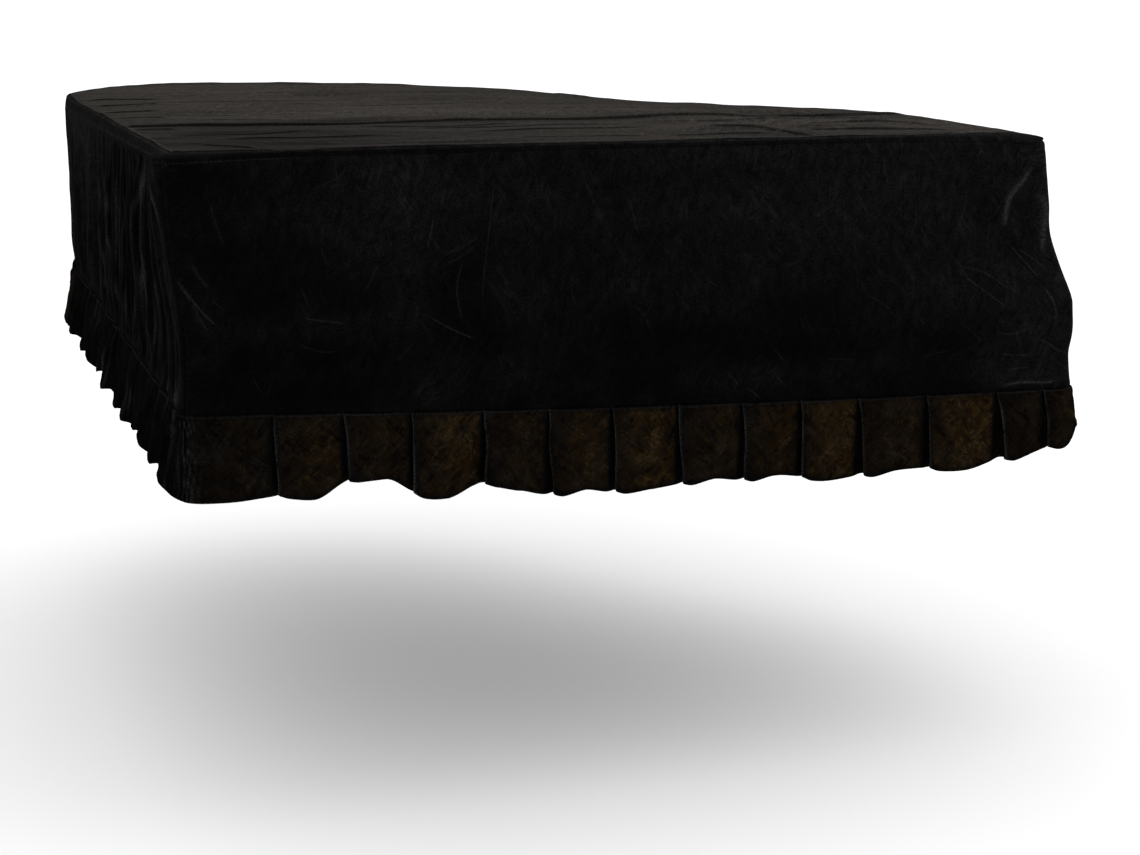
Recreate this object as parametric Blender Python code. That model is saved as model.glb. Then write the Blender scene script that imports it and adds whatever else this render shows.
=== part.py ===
"""A fitted velvet cover for a small grand piano, in the shape in which it hangs on the closed piano.

Lengths are in metres. The origin is the middle of the piano's lid, on the underside of the
cover's top: +X runs to the treble side, +Y to the tail, +Z up. A drop is how far a point lies
below the lid. A run is how far a point lies along the lid's edge, from the front left corner
along the front, up the treble side, round the tail and back down the spine.
"""

import bmesh
import bpy
import numpy as np
from mathutils import Vector
from mathutils.geometry import delaunay_2d_cdt

# ---- Driving sizes

CLOTH = 0.002  # thickness of the velvet
GAP = 0.0003  # between pieces that are sewn edge to edge
LID_WIDTH = 1.44
LID_LENGTH = 1.525
FRONT_CORNER = 0.016  # radius of the lid's two front corners
EDGE_ROUND = 0.006  # how softly the top turns over the lid's edge
EDGE_STAND = 0.004  # how far the hanging cloth stands off the lid's edge
STAND_DROP = 0.02  # the drop at which it has reached that stand

# The lid's edge, from its front left corner: x along the front, y towards the tail.
# "lean" is how far the wall hangs outwards for each metre of drop, "top_seam" is the drop of
# the seam under the turned-down edge of the top, and "ruffle_seam" the drop of the ruffle's.
LID_EDGE_COLUMNS = ("place", "x", "y", "lean", "top_seam", "ruffle_seam")
LID_EDGE = (
    ("front left", 0.000, 0.000, 0.030, 0.012, 0.360),
    ("front middle", 0.720, 0.000, 0.000, 0.006, 0.391),
    ("front right", 1.440, 0.000, 0.040, 0.010, 0.402),
    ("cheek end", 1.440, 0.360, 0.040, 0.020, 0.396),
    ("shoulder", 1.400, 0.500, 0.045, 0.020, 0.390),
    ("bent side", 1.250, 0.650, 0.070, 0.020, 0.384),
    ("waist", 1.075, 0.830, 0.090, 0.020, 0.376),
    ("waist end", 0.990, 1.030, 0.050, 0.020, 0.368),
    ("tail shoulder", 0.910, 1.230, 0.000, 0.020, 0.360),
    ("tail right", 0.730, 1.385, 0.000, 0.020, 0.354),
    ("tail", 0.500, 1.485, 0.000, 0.020, 0.348),
    ("tail middle", 0.325, 1.525, -0.010, 0.020, 0.342),
    ("tail left", 0.134, 1.445, -0.030, 0.020, 0.334),
    ("spine end", 0.020, 1.280, -0.030, 0.020, 0.328),
    ("spine back", -0.003, 1.080, -0.010, 0.019, 0.328),
    ("spine middle", -0.003, 0.500, 0.015, 0.018, 0.338),
)
ROUND_FROM, ROUND_TO = 3, 14  # the rows of LID_EDGE between which the edge is one smooth curve
PANEL_SEAM = "spine back"  # where the back panel meets the spine panel

# The cloth's two front corners stand off the lid's: the place, and how far at the top seam.
# They do so over a short run to each side, and lower down they fall back towards the piano.
CORNERS = (("front left", 0.020), ("front right", 0.032))
CORNER_SPREAD = 0.075
CORNER_FALL = 0.22  # the drop by which a corner has fallen back
CORNER_KEPT = 0.2  # the share of its stand that it keeps there
CORNER_RISE = 0.014  # the height over which it bulges from the top

# How far the front stands forward of the lid's edge at each drop: over the piano's two key
# arms, and in the slack stretch between them.
FRONT_HANG_COLUMNS = ("drop", "over_arm", "between_arms")
FRONT_HANG = (
    (0.000, 0.000, 0.000),
    (0.011, 0.006, 0.004),
    (0.060, 0.020, 0.022),
    (0.110, 0.044, 0.047),
    (0.160, 0.064, 0.077),
    (0.205, 0.104, 0.109),
    (0.240, 0.138, 0.137),
    (0.262, 0.151, 0.149),
    (0.310, 0.150, 0.153),
    (0.350, 0.141, 0.148),
    (0.405, 0.146, 0.146),
)
ARM_WIDTH = 0.06  # of each key arm, inside which the front follows it
ARM_BLEND = 0.24  # beyond the arm, where the front becomes slack
ARM_REACH = 0.38  # how far back along the sides the cloth is drawn forward by the arms

RIDGE_FADE = 0.3  # the share of a ridge's length over which each of its ends fades
# Soft ridges, which run from one point to another, across the top. The columns are x and y of
# the first point, x and y of the second, how wide the ridge is and how high it stands.
TOP_RIDGES = (
    (0.01, 0.465, 0.75, 0.475, 0.026, 0.0065),
    (0.70, 0.480, 1.42, 0.462, 0.024, 0.0070),
    (0.08, 0.150, 0.32, 0.075, 0.018, 0.0040),
    (0.04, 0.350, 0.36, 0.285, 0.022, 0.0035),
    (0.88, 0.235, 1.12, 0.085, 0.020, 0.0060),
    (1.02, 0.235, 1.32, 0.125, 0.022, 0.0060),
    (0.80, 0.365, 1.22, 0.335, 0.020, 0.0045),
    (1.18, 0.300, 1.41, 0.260, 0.022, 0.0050),
    (0.03, 0.740, 0.62, 0.700, 0.030, 0.0040),
    (0.04, 0.930, 0.52, 0.840, 0.030, 0.0045),
    (0.40, 0.610, 1.16, 0.590, 0.026, 0.0035),
    (0.46, 1.010, 0.93, 0.900, 0.030, 0.0040),
    (0.12, 1.190, 0.70, 1.130, 0.030, 0.0040),
)
FRONT_RIDGES_FROM = 0.03  # how far from the front's edges its ridges have grown
# The same down the front, with the drop in place of y.
FRONT_RIDGES = (
    (0.03, 0.180, 0.12, 0.240, 0.022, 0.0060),
    (0.08, 0.130, 0.19, 0.250, 0.030, 0.0040),
    (0.23, 0.245, 0.38, 0.250, 0.022, 0.0050),
    (0.42, 0.100, 0.43, 0.300, 0.020, 0.0040),
    (0.48, 0.020, 0.45, 0.330, 0.024, 0.0050),
    (0.38, 0.240, 0.48, 0.290, 0.020, 0.0045),
    (0.56, 0.060, 0.30, 0.200, 0.040, 0.0040),
    (0.78, 0.050, 0.72, 0.330, 0.040, 0.0035),
    (0.99, 0.030, 1.04, 0.200, 0.030, 0.0040),
    (1.18, 0.040, 1.20, 0.120, 0.022, 0.0045),
    (1.41, 0.030, 1.34, 0.120, 0.022, 0.0080),
    (1.43, 0.080, 1.43, 0.200, 0.020, 0.0050),
    (1.33, 0.130, 1.42, 0.195, 0.022, 0.0060),
    (1.22, 0.330, 1.43, 0.300, 0.024, 0.0060),
    (1.28, 0.370, 1.43, 0.350, 0.020, 0.0050),
)

# The gathers of the spine panel: large ones, and small ones between them.
GATHER_PITCH, GATHER_DEPTH = 0.078, 0.0060
SMALL_GATHER_PITCH, SMALL_GATHER_DEPTH = 0.037, 0.0026
SMALL_GATHER_LOSS = 0.4  # the share of the small ones that has merged into the large ones
GATHER_GROWTH = 0.12  # the drop over which the gathers grow
# The few soft folds of the back panel, which hangs plainly.
SOFT_FOLD_PITCH, SOFT_FOLD_DEPTH = 0.19, 0.0075
SOFT_FOLD_GROWTH = 0.40
FOLD_START = 0.015  # the drop from which all folds grow
# How much of a fold's depth the ruffle's seam takes away, and over what height above it.
SEAM_HOLD, SEAM_HOLD_HEIGHT = 0.75, 0.06

# ---- The ruffle

RUFFLE = 0.110  # its height along the back
HEM_UNEVEN = 0.006  # how much the back's hem rises and falls
BACK_LEAN = 0.004  # how far the back's folds lean along at the hem
PLEAT_PITCH = 0.107
TUCK = 0.015  # how far each pleat's face runs on under the next one
TURN = 0.002  # how far a fold's round edge stands past the end of its layers
FLARE_CURVE = 0.8  # below 1, the ruffle flares mostly near its seam

# One pleat, from the fold that shows to the one that is hidden: "along" is a share of the
# pleat, "past" a distance added to it, and the last two how far each layer stands off the
# wall at the seam and at the hem.
PLEAT_COLUMNS = ("place", "along", "past", "at_seam", "at_hem")
PLEAT = (
    ("return end", 0.00, 0.0000, 0.0005, 0.0170),
    ("shown fold", 0.00, -TURN, 0.0024, 0.0215),
    ("face", 0.08, 0.0000, 0.0042, 0.0235),
    ("face middle", 0.50, 0.0000, 0.0034, 0.0150),
    ("face end", 0.90, 0.0000, 0.0002, 0.0020),
    ("tucked", 1.00, TUCK, -0.0034, -0.0060),
    ("hidden fold", 1.00, TUCK + TURN, -0.0016, -0.0020),
    ("return", 1.00, TUCK, 0.0001, 0.0035),
)
# Where two strips of the ruffle meet: the place, the hem's drop there and how far it flares.
RUFFLE_JOINTS = (
    ("front left", 0.489, 0.006),
    ("front right", 0.466, 0.015),
    ("spine back", 0.434, 0.022),
)
# The front's pleats. The columns are the x of the fold, how far along the fold leans at the
# hem, the hem's drop at the fold and at the face after it, and how boldly the pleat stands.
FRONT_PLEATS = (
    (0.121, 0.000, 0.489, 0.496, 0.75),
    (0.223, 0.002, 0.474, 0.472, 0.90),
    (0.329, -0.006, 0.499, 0.508, 1.15),
    (0.441, -0.002, 0.494, 0.506, 1.00),
    (0.546, 0.000, 0.519, 0.513, 1.05),
    (0.651, 0.003, 0.523, 0.521, 0.95),
    (0.760, 0.001, 0.519, 0.512, 0.95),
    (0.866, 0.002, 0.520, 0.514, 0.90),
    (0.969, -0.003, 0.522, 0.528, 1.00),
    (1.068, 0.004, 0.527, 0.519, 0.95),
    (1.190, 0.000, 0.522, 0.527, 1.00),
    (1.314, 0.012, 0.517, 0.508, 0.95),
    (1.400, 0.006, 0.500, 0.497, 0.80),
)
# The spine's pleats, from the tail to the front, with the y of the fold in place of x.
SPINE_PLEATS = (
    (0.970, 0.004, 0.430, 0.426, 1.35),
    (0.862, 0.006, 0.442, 0.436, 1.10),
    (0.755, 0.004, 0.438, 0.444, 1.20),
    (0.640, 0.006, 0.442, 0.432, 1.05),
    (0.530, 0.004, 0.450, 0.444, 1.25),
    (0.432, 0.006, 0.464, 0.456, 1.00),
    (0.325, 0.004, 0.462, 0.458, 1.20),
    (0.220, 0.006, 0.457, 0.449, 1.00),
    (0.120, 0.004, 0.455, 0.463, 1.20),
    (0.030, 0.006, 0.468, 0.460, 1.05),
    (-0.060, 0.004, 0.470, 0.478, 0.95),
)

# ---- How finely each piece is modelled

FRONT_COLUMN, SPINE_COLUMN, BACK_COLUMN = 0.045, 0.0195, 0.042
CORNER_STEPS = 6  # in half of a front corner
CURVE_STEPS = 12  # between two rows of the lid's edge
WALL_ROWS = (0.0, 0.12, 0.27, 0.42, 0.56, 0.66, 0.74, 0.87, 1.0)  # shares of a wall's height
RUFFLE_ROWS = (0.0, 0.30, 1.0)
SEAM_STEPS = 1600  # of the line that the ruffle follows
TOP_GRID = 0.15  # between the top's points where it is plain
RIDGE_STEP = 0.11  # between the top's points along a ridge
TOP_APART = 0.012  # the least distance between two of the top's points
TOP_INSET = 0.012  # how far inside the lid's edge the top begins to turn down
NEAR_EDGE = 0.030  # the top's inner points keep this far from its edge
SHARP = 50.0  # degrees between faces from which an edge is drawn sharp

BLACK = (0.010, 0.0095, 0.0100, 1.0)


# ---- Small helpers


def column(rows, names, name):
    """One named column of a table, as an array."""
    place = names.index(name)
    return np.array([row[place] for row in rows], float)


def smooth_step(value):
    value = np.clip(value, 0.0, 1.0)
    return value * value * (3.0 - 2.0 * value)


def smooth_between(x, known_x, known_y):
    """A smooth curve through the known points, with no overshoot past them."""
    x, known_x, known_y = (np.asarray(values, float) for values in (x, known_x, known_y))
    steps = np.diff(known_x)
    slopes = np.diff(known_y) / steps
    tangents = np.concatenate([slopes[:1], (slopes[:-1] + slopes[1:]) / 2, slopes[-1:]])
    turning = np.concatenate([[False], slopes[:-1] * slopes[1:] <= 0, [False]])
    tangents[turning] = 0.0
    place = np.clip(np.searchsorted(known_x, x, side="right") - 1, 0, len(steps) - 1)
    width = steps[place]
    t = np.clip((x - known_x[place]) / width, 0.0, 1.0)
    low, high = known_y[place], known_y[place + 1]
    leave, arrive = tangents[place] * width, tangents[place + 1] * width
    return (
        (2 * t**3 - 3 * t**2 + 1) * low
        + (t**3 - 2 * t**2 + t) * leave
        + (3 * t**2 - 2 * t**3) * high
        + (t**3 - t**2) * arrive
    )


def catmull_rom(points, steps):
    """A smooth line through the points, without the last of them."""
    points = np.asarray(points, float)
    before, after = 2 * points[0] - points[1], 2 * points[-1] - points[-2]
    points = np.vstack([before, points, after])
    t = np.linspace(0.0, 1.0, steps, endpoint=False)[:, None]
    spans = []
    for a, b, c, d in zip(points, points[1:], points[2:], points[3:]):
        square, cube = 2 * a - 5 * b + 4 * c - d, 3 * b - a - 3 * c + d
        spans.append(0.5 * (2 * b + (c - a) * t + square * t**2 + cube * t**3))
    return np.vstack(spans)


def ridges(u, v, rows):
    """The height that soft ridges add at places (u, v)."""
    total = np.zeros(np.broadcast(u, v).shape)
    for u0, v0, u1, v1, wide, high in rows:
        length = np.hypot(u1 - u0, v1 - v0)
        along = ((u - u0) * (u1 - u0) + (v - v0) * (v1 - v0)) / length
        across = ((v - v0) * (u1 - u0) - (u - u0) * (v1 - v0)) / length
        fade = RIDGE_FADE * length
        ends = smooth_step(along / fade) * smooth_step((length - along) / fade)
        total = total + high * ends * np.exp(-((across / wide) ** 2))
    return total


# ---- The lid's edge


class Line:
    """A closed line seen from above, followed by the run along it."""

    def __init__(self, points):
        self.points = np.vstack([points, points[:1]])
        steps = np.linalg.norm(np.diff(self.points, axis=0), axis=1)
        self.runs = np.concatenate([[0.0], np.cumsum(steps)])
        self.length = self.runs[-1]

    def at(self, run):
        run = np.mod(run, self.length)
        return np.stack([np.interp(run, self.runs, self.points[:, axis]) for axis in (0, 1)], -1)

    def outward(self, run, reach=0.006):
        """The outward direction, level, averaged over a short reach."""
        forward = self.at(np.asarray(run) + reach) - self.at(np.asarray(run) - reach)
        forward /= np.linalg.norm(forward, axis=-1, keepdims=True)
        return np.stack([forward[..., 1], -forward[..., 0]], -1)

    def run_of(self, point):
        """The run at the corner of the line nearest to a point."""
        return self.runs[np.argmin(np.linalg.norm(self.points[:-1] - point, axis=1))]


def corner_arc(centre, first_angle):
    """Half of a front corner, an eighth of a turn about its centre."""
    angles = np.radians(np.linspace(first_angle, first_angle + 45.0, CORNER_STEPS + 1))
    return np.asarray(centre) + FRONT_CORNER * np.stack([np.cos(angles), np.sin(angles)], -1)


def lid_line():
    """The lid's edge, from the middle of its front left corner."""
    corners = np.stack([column(LID_EDGE, LID_EDGE_COLUMNS, axis) for axis in ("x", "y")], -1)
    left = (FRONT_CORNER, FRONT_CORNER)
    right = (LID_WIDTH - FRONT_CORNER, FRONT_CORNER)
    curve = catmull_rom(corners[ROUND_FROM : ROUND_TO + 1], CURVE_STEPS)
    points = np.vstack(
        [
            corner_arc(left, 225.0),
            corner_arc(right, 270.0),
            corner_arc(right, 315.0)[1:],
            curve,
            corners[ROUND_TO],
            corner_arc(left, 180.0)[:-1],
        ]
    )
    return Line(points)


LID = lid_line()
CORNER_MIDDLE = FRONT_CORNER * (1 - 0.5**0.5)
RIGHT_CORNER = LID.run_of((LID_WIDTH - CORNER_MIDDLE, CORNER_MIDDLE))


def run_of_row(row):
    """The run of a row of LID_EDGE."""
    place, x, y = row[:3]
    if place == "front left":
        return 0.0
    if place == "front middle":
        return RIGHT_CORNER / 2
    if place == "front right":
        return RIGHT_CORNER
    if place == "spine middle":
        return LID.length - y
    return LID.run_of((x, y))


EDGE_RUNS = [run_of_row(row) for row in LID_EDGE]
BACK_END = EDGE_RUNS[[row[0] for row in LID_EDGE].index(PANEL_SEAM)]


def edge_value(run, name):
    """A column of LID_EDGE at any run, joined round the loop."""
    values = column(LID_EDGE, LID_EDGE_COLUMNS, name)
    runs = np.append(EDGE_RUNS, LID.length)
    return smooth_between(np.mod(run, LID.length), runs, np.append(values, values[0]))


# ---- The walls


def held_at_seams(run, drop, grow_by):
    """How freely a fold stands: held at the top seam, and partly again at the ruffle's."""
    ruffle_seam = edge_value(run, "ruffle_seam")
    freed = smooth_step((drop - FOLD_START) / grow_by)
    near_ruffle = smooth_step(1.0 - (ruffle_seam - drop) / SEAM_HOLD_HEIGHT)
    return freed * (1.0 - SEAM_HOLD * near_ruffle)


def corner_stand(run):
    """How far the cloth stands off the lid at its front corners, at the top seam."""
    stand = np.zeros(np.shape(run))
    for (_, high), corner in zip(CORNERS, (0.0, RIGHT_CORNER)):
        away = np.abs(run - corner)
        away = np.minimum(away, LID.length - away)
        stand = stand + high * np.exp(-((away / CORNER_SPREAD) ** 2))
    return stand


def gathers(run, drop):
    """The spine panel's gathers: none at its ends, and growing below the seam."""
    ends = smooth_step((run - BACK_END + 0.10) / 0.22) * smooth_step((LID.length - run) / 0.03)
    grow = held_at_seams(run, drop, GATHER_GROWTH)
    uneven = 0.9 * np.sin(run * 20.0) + 0.5 * np.sin(run * 47.0)
    bold = 1 + 0.4 * np.sin(run * 27.0 + 1.0)
    large = GATHER_DEPTH * bold * np.cos(2 * np.pi * run / GATHER_PITCH + uneven)
    small = SMALL_GATHER_DEPTH * np.cos(2 * np.pi * run / SMALL_GATHER_PITCH + 1.3 * uneven)
    left = 1.0 - SMALL_GATHER_LOSS * smooth_step(drop / edge_value(run, "ruffle_seam"))
    return ends * grow * (large + left * small)


def soft_folds(run, drop):
    """The back panel's few folds, which grow towards the ruffle."""
    ends = smooth_step((run - RIGHT_CORNER - 0.02) / 0.2) * smooth_step((BACK_END - run) / 0.2)
    grow = held_at_seams(run, drop, SOFT_FOLD_GROWTH)
    uneven = 0.8 * np.sin(run * 5.0) + 0.5 * np.sin(run * 13.0)
    return ends * grow * SOFT_FOLD_DEPTH * np.cos(2 * np.pi * run / SOFT_FOLD_PITCH + uneven)


def front_ridges(run, x, drop):
    """The front's own ridges, which grow from its corners and its top seam."""
    grown = [smooth_step(far / FRONT_RIDGES_FROM) for far in (run, RIGHT_CORNER - run, drop)]
    return grown[0] * grown[1] * grown[2] ** 2 * ridges(x, drop, FRONT_RIDGES)


def front_hang(x, drop):
    """How far the front stands forward at x and drop."""
    drops = column(FRONT_HANG, FRONT_HANG_COLUMNS, "drop")
    over_arm = smooth_between(drop, drops, column(FRONT_HANG, FRONT_HANG_COLUMNS, "over_arm"))
    slack = smooth_between(drop, drops, column(FRONT_HANG, FRONT_HANG_COLUMNS, "between_arms"))
    from_end = np.minimum(x, LID_WIDTH - x)
    share = smooth_step((from_end - ARM_WIDTH) / ARM_BLEND)
    return over_arm + (slack - over_arm) * share


def wall_line(run, drop, folded=True):
    """The cloth's outer face, by run and drop, as x and y from the lid's front left corner."""
    run, drop = np.broadcast_arrays(np.asarray(run, float), np.asarray(drop, float))
    edge = LID.at(run)
    out = EDGE_STAND * smooth_step(drop / STAND_DROP) + edge_value(run, "lean") * drop
    risen = smooth_step((drop + EDGE_ROUND) / CORNER_RISE)
    fallen = (1.0 - CORNER_KEPT) * smooth_step((drop - STAND_DROP) / CORNER_FALL)
    out = out + corner_stand(run) * risen * (1.0 - fallen)
    if folded:
        out = out + gathers(run, drop) + soft_folds(run, drop)
        out = out + front_ridges(run, edge[..., 0], drop)
    drawn = 1.0 - smooth_step((edge[..., 1] - FRONT_CORNER) / ARM_REACH)
    forward = front_hang(edge[..., 0], drop) * drawn
    place = edge + LID.outward(run) * out[..., None]
    place[..., 1] -= forward
    return place


def placed(place, height):
    """Points in the part's own frame, from x and y at the lid's front left corner and a height."""
    height = np.broadcast_to(height, place.shape[:-1])
    return np.stack([place[..., 0] - LID_WIDTH / 2, place[..., 1] - LID_LENGTH / 2, height], -1)


# ---- Solids


def closed_sheet(name, outer, inner, triangles, rim):
    """One closed sheet from its two faces, which share a numbering, and the loop of its edge."""
    mesh = bmesh.new()
    count = len(outer)
    corners = [mesh.verts.new(Vector(point)) for point in np.vstack([outer, inner])]
    for a, b, c in triangles:
        mesh.faces.new((corners[a], corners[b], corners[c]))
        mesh.faces.new((corners[c + count], corners[b + count], corners[a + count]))
    for a, b in zip(rim, np.roll(rim, -1)):
        mesh.faces.new((corners[b], corners[a], corners[a + count]))
        mesh.faces.new((corners[b], corners[a + count], corners[b + count]))
    bmesh.ops.recalc_face_normals(mesh, faces=mesh.faces)
    data = bpy.data.meshes.new(name)
    mesh.to_mesh(data)
    mesh.free()
    data.shade_smooth()
    data.set_sharp_from_angle(angle=np.radians(SHARP))
    data.materials.append(velvet(name))
    piece = bpy.data.objects.new(name, data)
    bpy.context.scene.collection.objects.link(piece)
    return piece


def velvet(name):
    """Black velvet: rough, and paler where it is seen along its pile."""
    material = bpy.data.materials.new(name + "_velvet")
    material.use_nodes = True
    shader = material.node_tree.nodes["Principled BSDF"]
    shader.inputs["Base Color"].default_value = BLACK
    shader.inputs["Roughness"].default_value = 0.92
    shader.inputs["Metallic"].default_value = 0.0
    shader.inputs["Sheen Weight"].default_value = 0.5
    return material


def grid_sheet(name, outer, inner):
    """A closed sheet from two grids of points, rows down and columns along."""
    rows, columns = outer.shape[:2]
    number = np.arange(rows * columns).reshape(rows, columns)
    triangles = []
    for r in range(rows - 1):
        for c in range(columns - 1):
            (a, b), (d, e) = number[r, c : c + 2], number[r + 1, c : c + 2]
            triangles += [(a, d, e), (a, e, b)]
    sides = [number[0, :-1], number[:-1, -1], number[-1, :0:-1], number[:0:-1, 0]]
    rim = np.concatenate(sides)
    return closed_sheet(name, outer.reshape(-1, 3), inner.reshape(-1, 3), triangles, rim)


def wall_panel(name, runs):
    """A wall from the top's seam down to the ruffle's, along the given runs."""
    first = edge_value(runs, "top_seam") + GAP / 2
    last = edge_value(runs, "ruffle_seam") - GAP / 2
    drops = first + (last - first) * np.array(WALL_ROWS)[:, None]
    outer = wall_line(runs, drops)
    inner = outer - CLOTH * LID.outward(np.broadcast_to(runs, drops.shape))
    return grid_sheet(name, placed(outer, -drops), placed(inner, -drops))


# ---- The top


def top_height(x, y):
    """The height of the top's outer face over the lid."""
    return CLOTH + ridges(x, y, TOP_RIDGES)


def edge_distance(points):
    """How far each point lies inside the lid's edge, negative when outside."""
    edge = LID.points[:-1]
    away = np.linalg.norm(points[:, None] - edge[None], axis=2)
    nearest = away.argmin(axis=1)
    outward = LID.outward(LID.runs[nearest])
    side = ((points - edge[nearest]) * outward).sum(axis=1)
    return np.where(side < 0, away.min(axis=1), -away.min(axis=1))


def top_points():
    """Points inside the top: along and beside each ridge, and a plain grid between."""
    points = []
    for x0, y0, x1, y1, wide, _ in TOP_RIDGES:
        length = np.hypot(x1 - x0, y1 - y0)
        across = np.array([y0 - y1, x1 - x0]) / length
        for share in np.linspace(0.0, 1.0, 2 + round(length / RIDGE_STEP)):
            middle = np.array([x0, y0]) + share * np.array([x1 - x0, y1 - y0])
            points += [middle + side * wide * across for side in (-1.5, 0.0, 1.5)]
    ridge_points = np.array(points)
    for x in np.arange(TOP_GRID / 2, LID_WIDTH, TOP_GRID):
        for y in np.arange(TOP_GRID / 2, LID_LENGTH, TOP_GRID):
            if np.linalg.norm(ridge_points - (x, y), axis=1).min() > TOP_GRID / 2:
                points.append(np.array([x, y]))
    points = np.array(points)
    kept = []
    for point in points[edge_distance(points) > NEAR_EDGE]:
        if all(np.linalg.norm(point - other) > TOP_APART for other in kept):
            kept.append(point)
    return np.array(kept)


def top_panel(name, runs):
    """The top: flat on the lid with its ridges, and turned down over the edge to the seam."""
    edge, out = LID.at(runs), LID.outward(runs)
    drop = edge_value(runs, "top_seam") - GAP / 2
    inset = edge - TOP_INSET * out
    shoulder = edge - 0.3 * EDGE_ROUND * out
    shoulder[:, 1] -= front_hang(edge[:, 0], 0.0)
    bend = wall_line(runs, np.full(len(runs), EDGE_ROUND), folded=False)
    seam = wall_line(runs, drop, folded=False)
    height = top_height(inset[:, 0], inset[:, 1])
    rings = [
        (placed(inset, height), 0.0),
        (placed(shoulder, 0.75 * height), 0.5),
        (placed(bend, -EDGE_ROUND + CLOTH), 0.9),
        (placed(seam, -drop), 1.0),
    ]
    inside = top_points()
    middle = placed(inside, top_height(inside[:, 0], inside[:, 1]))
    outer = np.vstack([ring for ring, _ in rings] + [middle])
    upward = np.array([0.0, 0.0, 1.0])
    level = np.hstack([out, np.zeros((len(out), 1))])
    thick = []
    for _, turned in rings:
        direction = level * turned + upward * (1.0 - turned)
        thick.append(direction / np.linalg.norm(direction, axis=1, keepdims=True))
    thick.append(np.tile(upward, (len(middle), 1)))
    inner = outer - CLOTH * np.vstack(thick)

    count = len(runs)
    triangles = []
    for ring in range(len(rings) - 1):
        upper, lower = ring * count, (ring + 1) * count
        for a in range(count):
            b = (a + 1) % count
            triangles += [(upper + a, lower + a, lower + b), (upper + a, lower + b, upper + b)]
    flat = [Vector(point) for point in np.vstack([inset, inside])]
    edges = [(a, (a + 1) % count) for a in range(count)]
    faces, origin = delaunay_2d_cdt(flat, edges, [], 1, 1e-6)[2:4]
    below = (len(rings) - 1) * count  # points of the rings under the first
    number = [first[0] + (below if first[0] >= count else 0) for first in origin]
    triangles += [tuple(number[corner] for corner in face) for face in faces]
    return closed_sheet(name, outer, inner, triangles, np.arange(count) + below)


# ---- The ruffle


def seam_line():
    """The line of the ruffle's seam seen from above, and the lid's run at each of its points."""
    runs = np.linspace(0.0, LID.length, SEAM_STEPS, endpoint=False)
    return Line(wall_line(runs, edge_value(runs, "ruffle_seam"), folded=False)), runs


SEAM, SEAM_RUNS = seam_line()


def seam_run(lid_run):
    """The distance along the ruffle's seam at a run of the lid's edge."""
    return np.interp(lid_run, np.append(SEAM_RUNS, LID.length), SEAM.runs)


def lid_run(run):
    """The run of the lid's edge at a distance along the ruffle's seam."""
    return np.interp(run, SEAM.runs, np.append(SEAM_RUNS, LID.length))


def seam_run_beside(x=None, y=None):
    """The distance along the seam of a fold on the front, at x, or on the spine, at y."""
    if x is not None:
        near = np.linalg.norm(SEAM.points[:-1] - (x, SEAM.points[:-1, 1].min()), axis=1)
    else:
        near = np.linalg.norm(SEAM.points[:-1] - (0.0, y), axis=1)
    return SEAM.runs[near.argmin()]


def pleat_stations(start, end, pleats, flares):
    """The points of a strip's pleated section: run, lean at the hem, and how far each stands
    off the wall at the seam and at the hem. The strip starts and ends with a plain face."""
    share, past, at_seam, at_hem = (
        column(PLEAT, PLEAT_COLUMNS, name) for name in ("along", "past", "at_seam", "at_hem")
    )
    face = [row[0] for row in PLEAT].index("face")
    first_fold = pleats[0][0]
    stations = [(start, 0.0, 0.0, flares[0])]
    for place in range(face + 1, len(PLEAT)):
        run = start + share[place] * (first_fold - start) + past[place]
        stations.append((run, 0.0, at_seam[place], at_hem[place]))
    next_folds = [pleat[0] for pleat in pleats[1:]] + [None]
    for (fold, lean, _, _, bold), next_fold in zip(pleats, next_folds):
        pitch = PLEAT_PITCH if next_fold is None else next_fold - fold
        for place in range(face + 1 if next_fold is None else len(PLEAT)):
            run = fold + share[place] * pitch + past[place]
            stations.append((run, lean, at_seam[place], at_hem[place] * bold))
    stations.append((end, 0.0, 0.0, flares[1]))
    return np.array(stations).T


def hem_line(runs, start, end, pleats, joint_hems):
    """The hem's drop along a strip, through its drop at each fold and each face."""
    folds = [pleat[0] for pleat in pleats] + [end]
    hem_runs, hem_drops = [start], [joint_hems[0]]
    for (fold, _, at_fold, at_face, _), next_fold in zip(pleats, folds[1:]):
        hem_runs += [fold, (fold + next_fold) / 2]
        hem_drops += [at_fold, at_face]
    return np.interp(runs, hem_runs + [end], hem_drops + [joint_hems[1]])


def across_line(points, start_way, end_way):
    """The level direction across a line at each of its points, given those at its ends."""
    steps = np.diff(points, axis=0)
    steps /= np.linalg.norm(steps, axis=1, keepdims=True)
    forward = steps[:-1] + steps[1:]
    across = np.stack([forward[:, 1], -forward[:, 0]], -1)
    across /= np.linalg.norm(across, axis=1, keepdims=True)
    return np.vstack([start_way, across, end_way])


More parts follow.
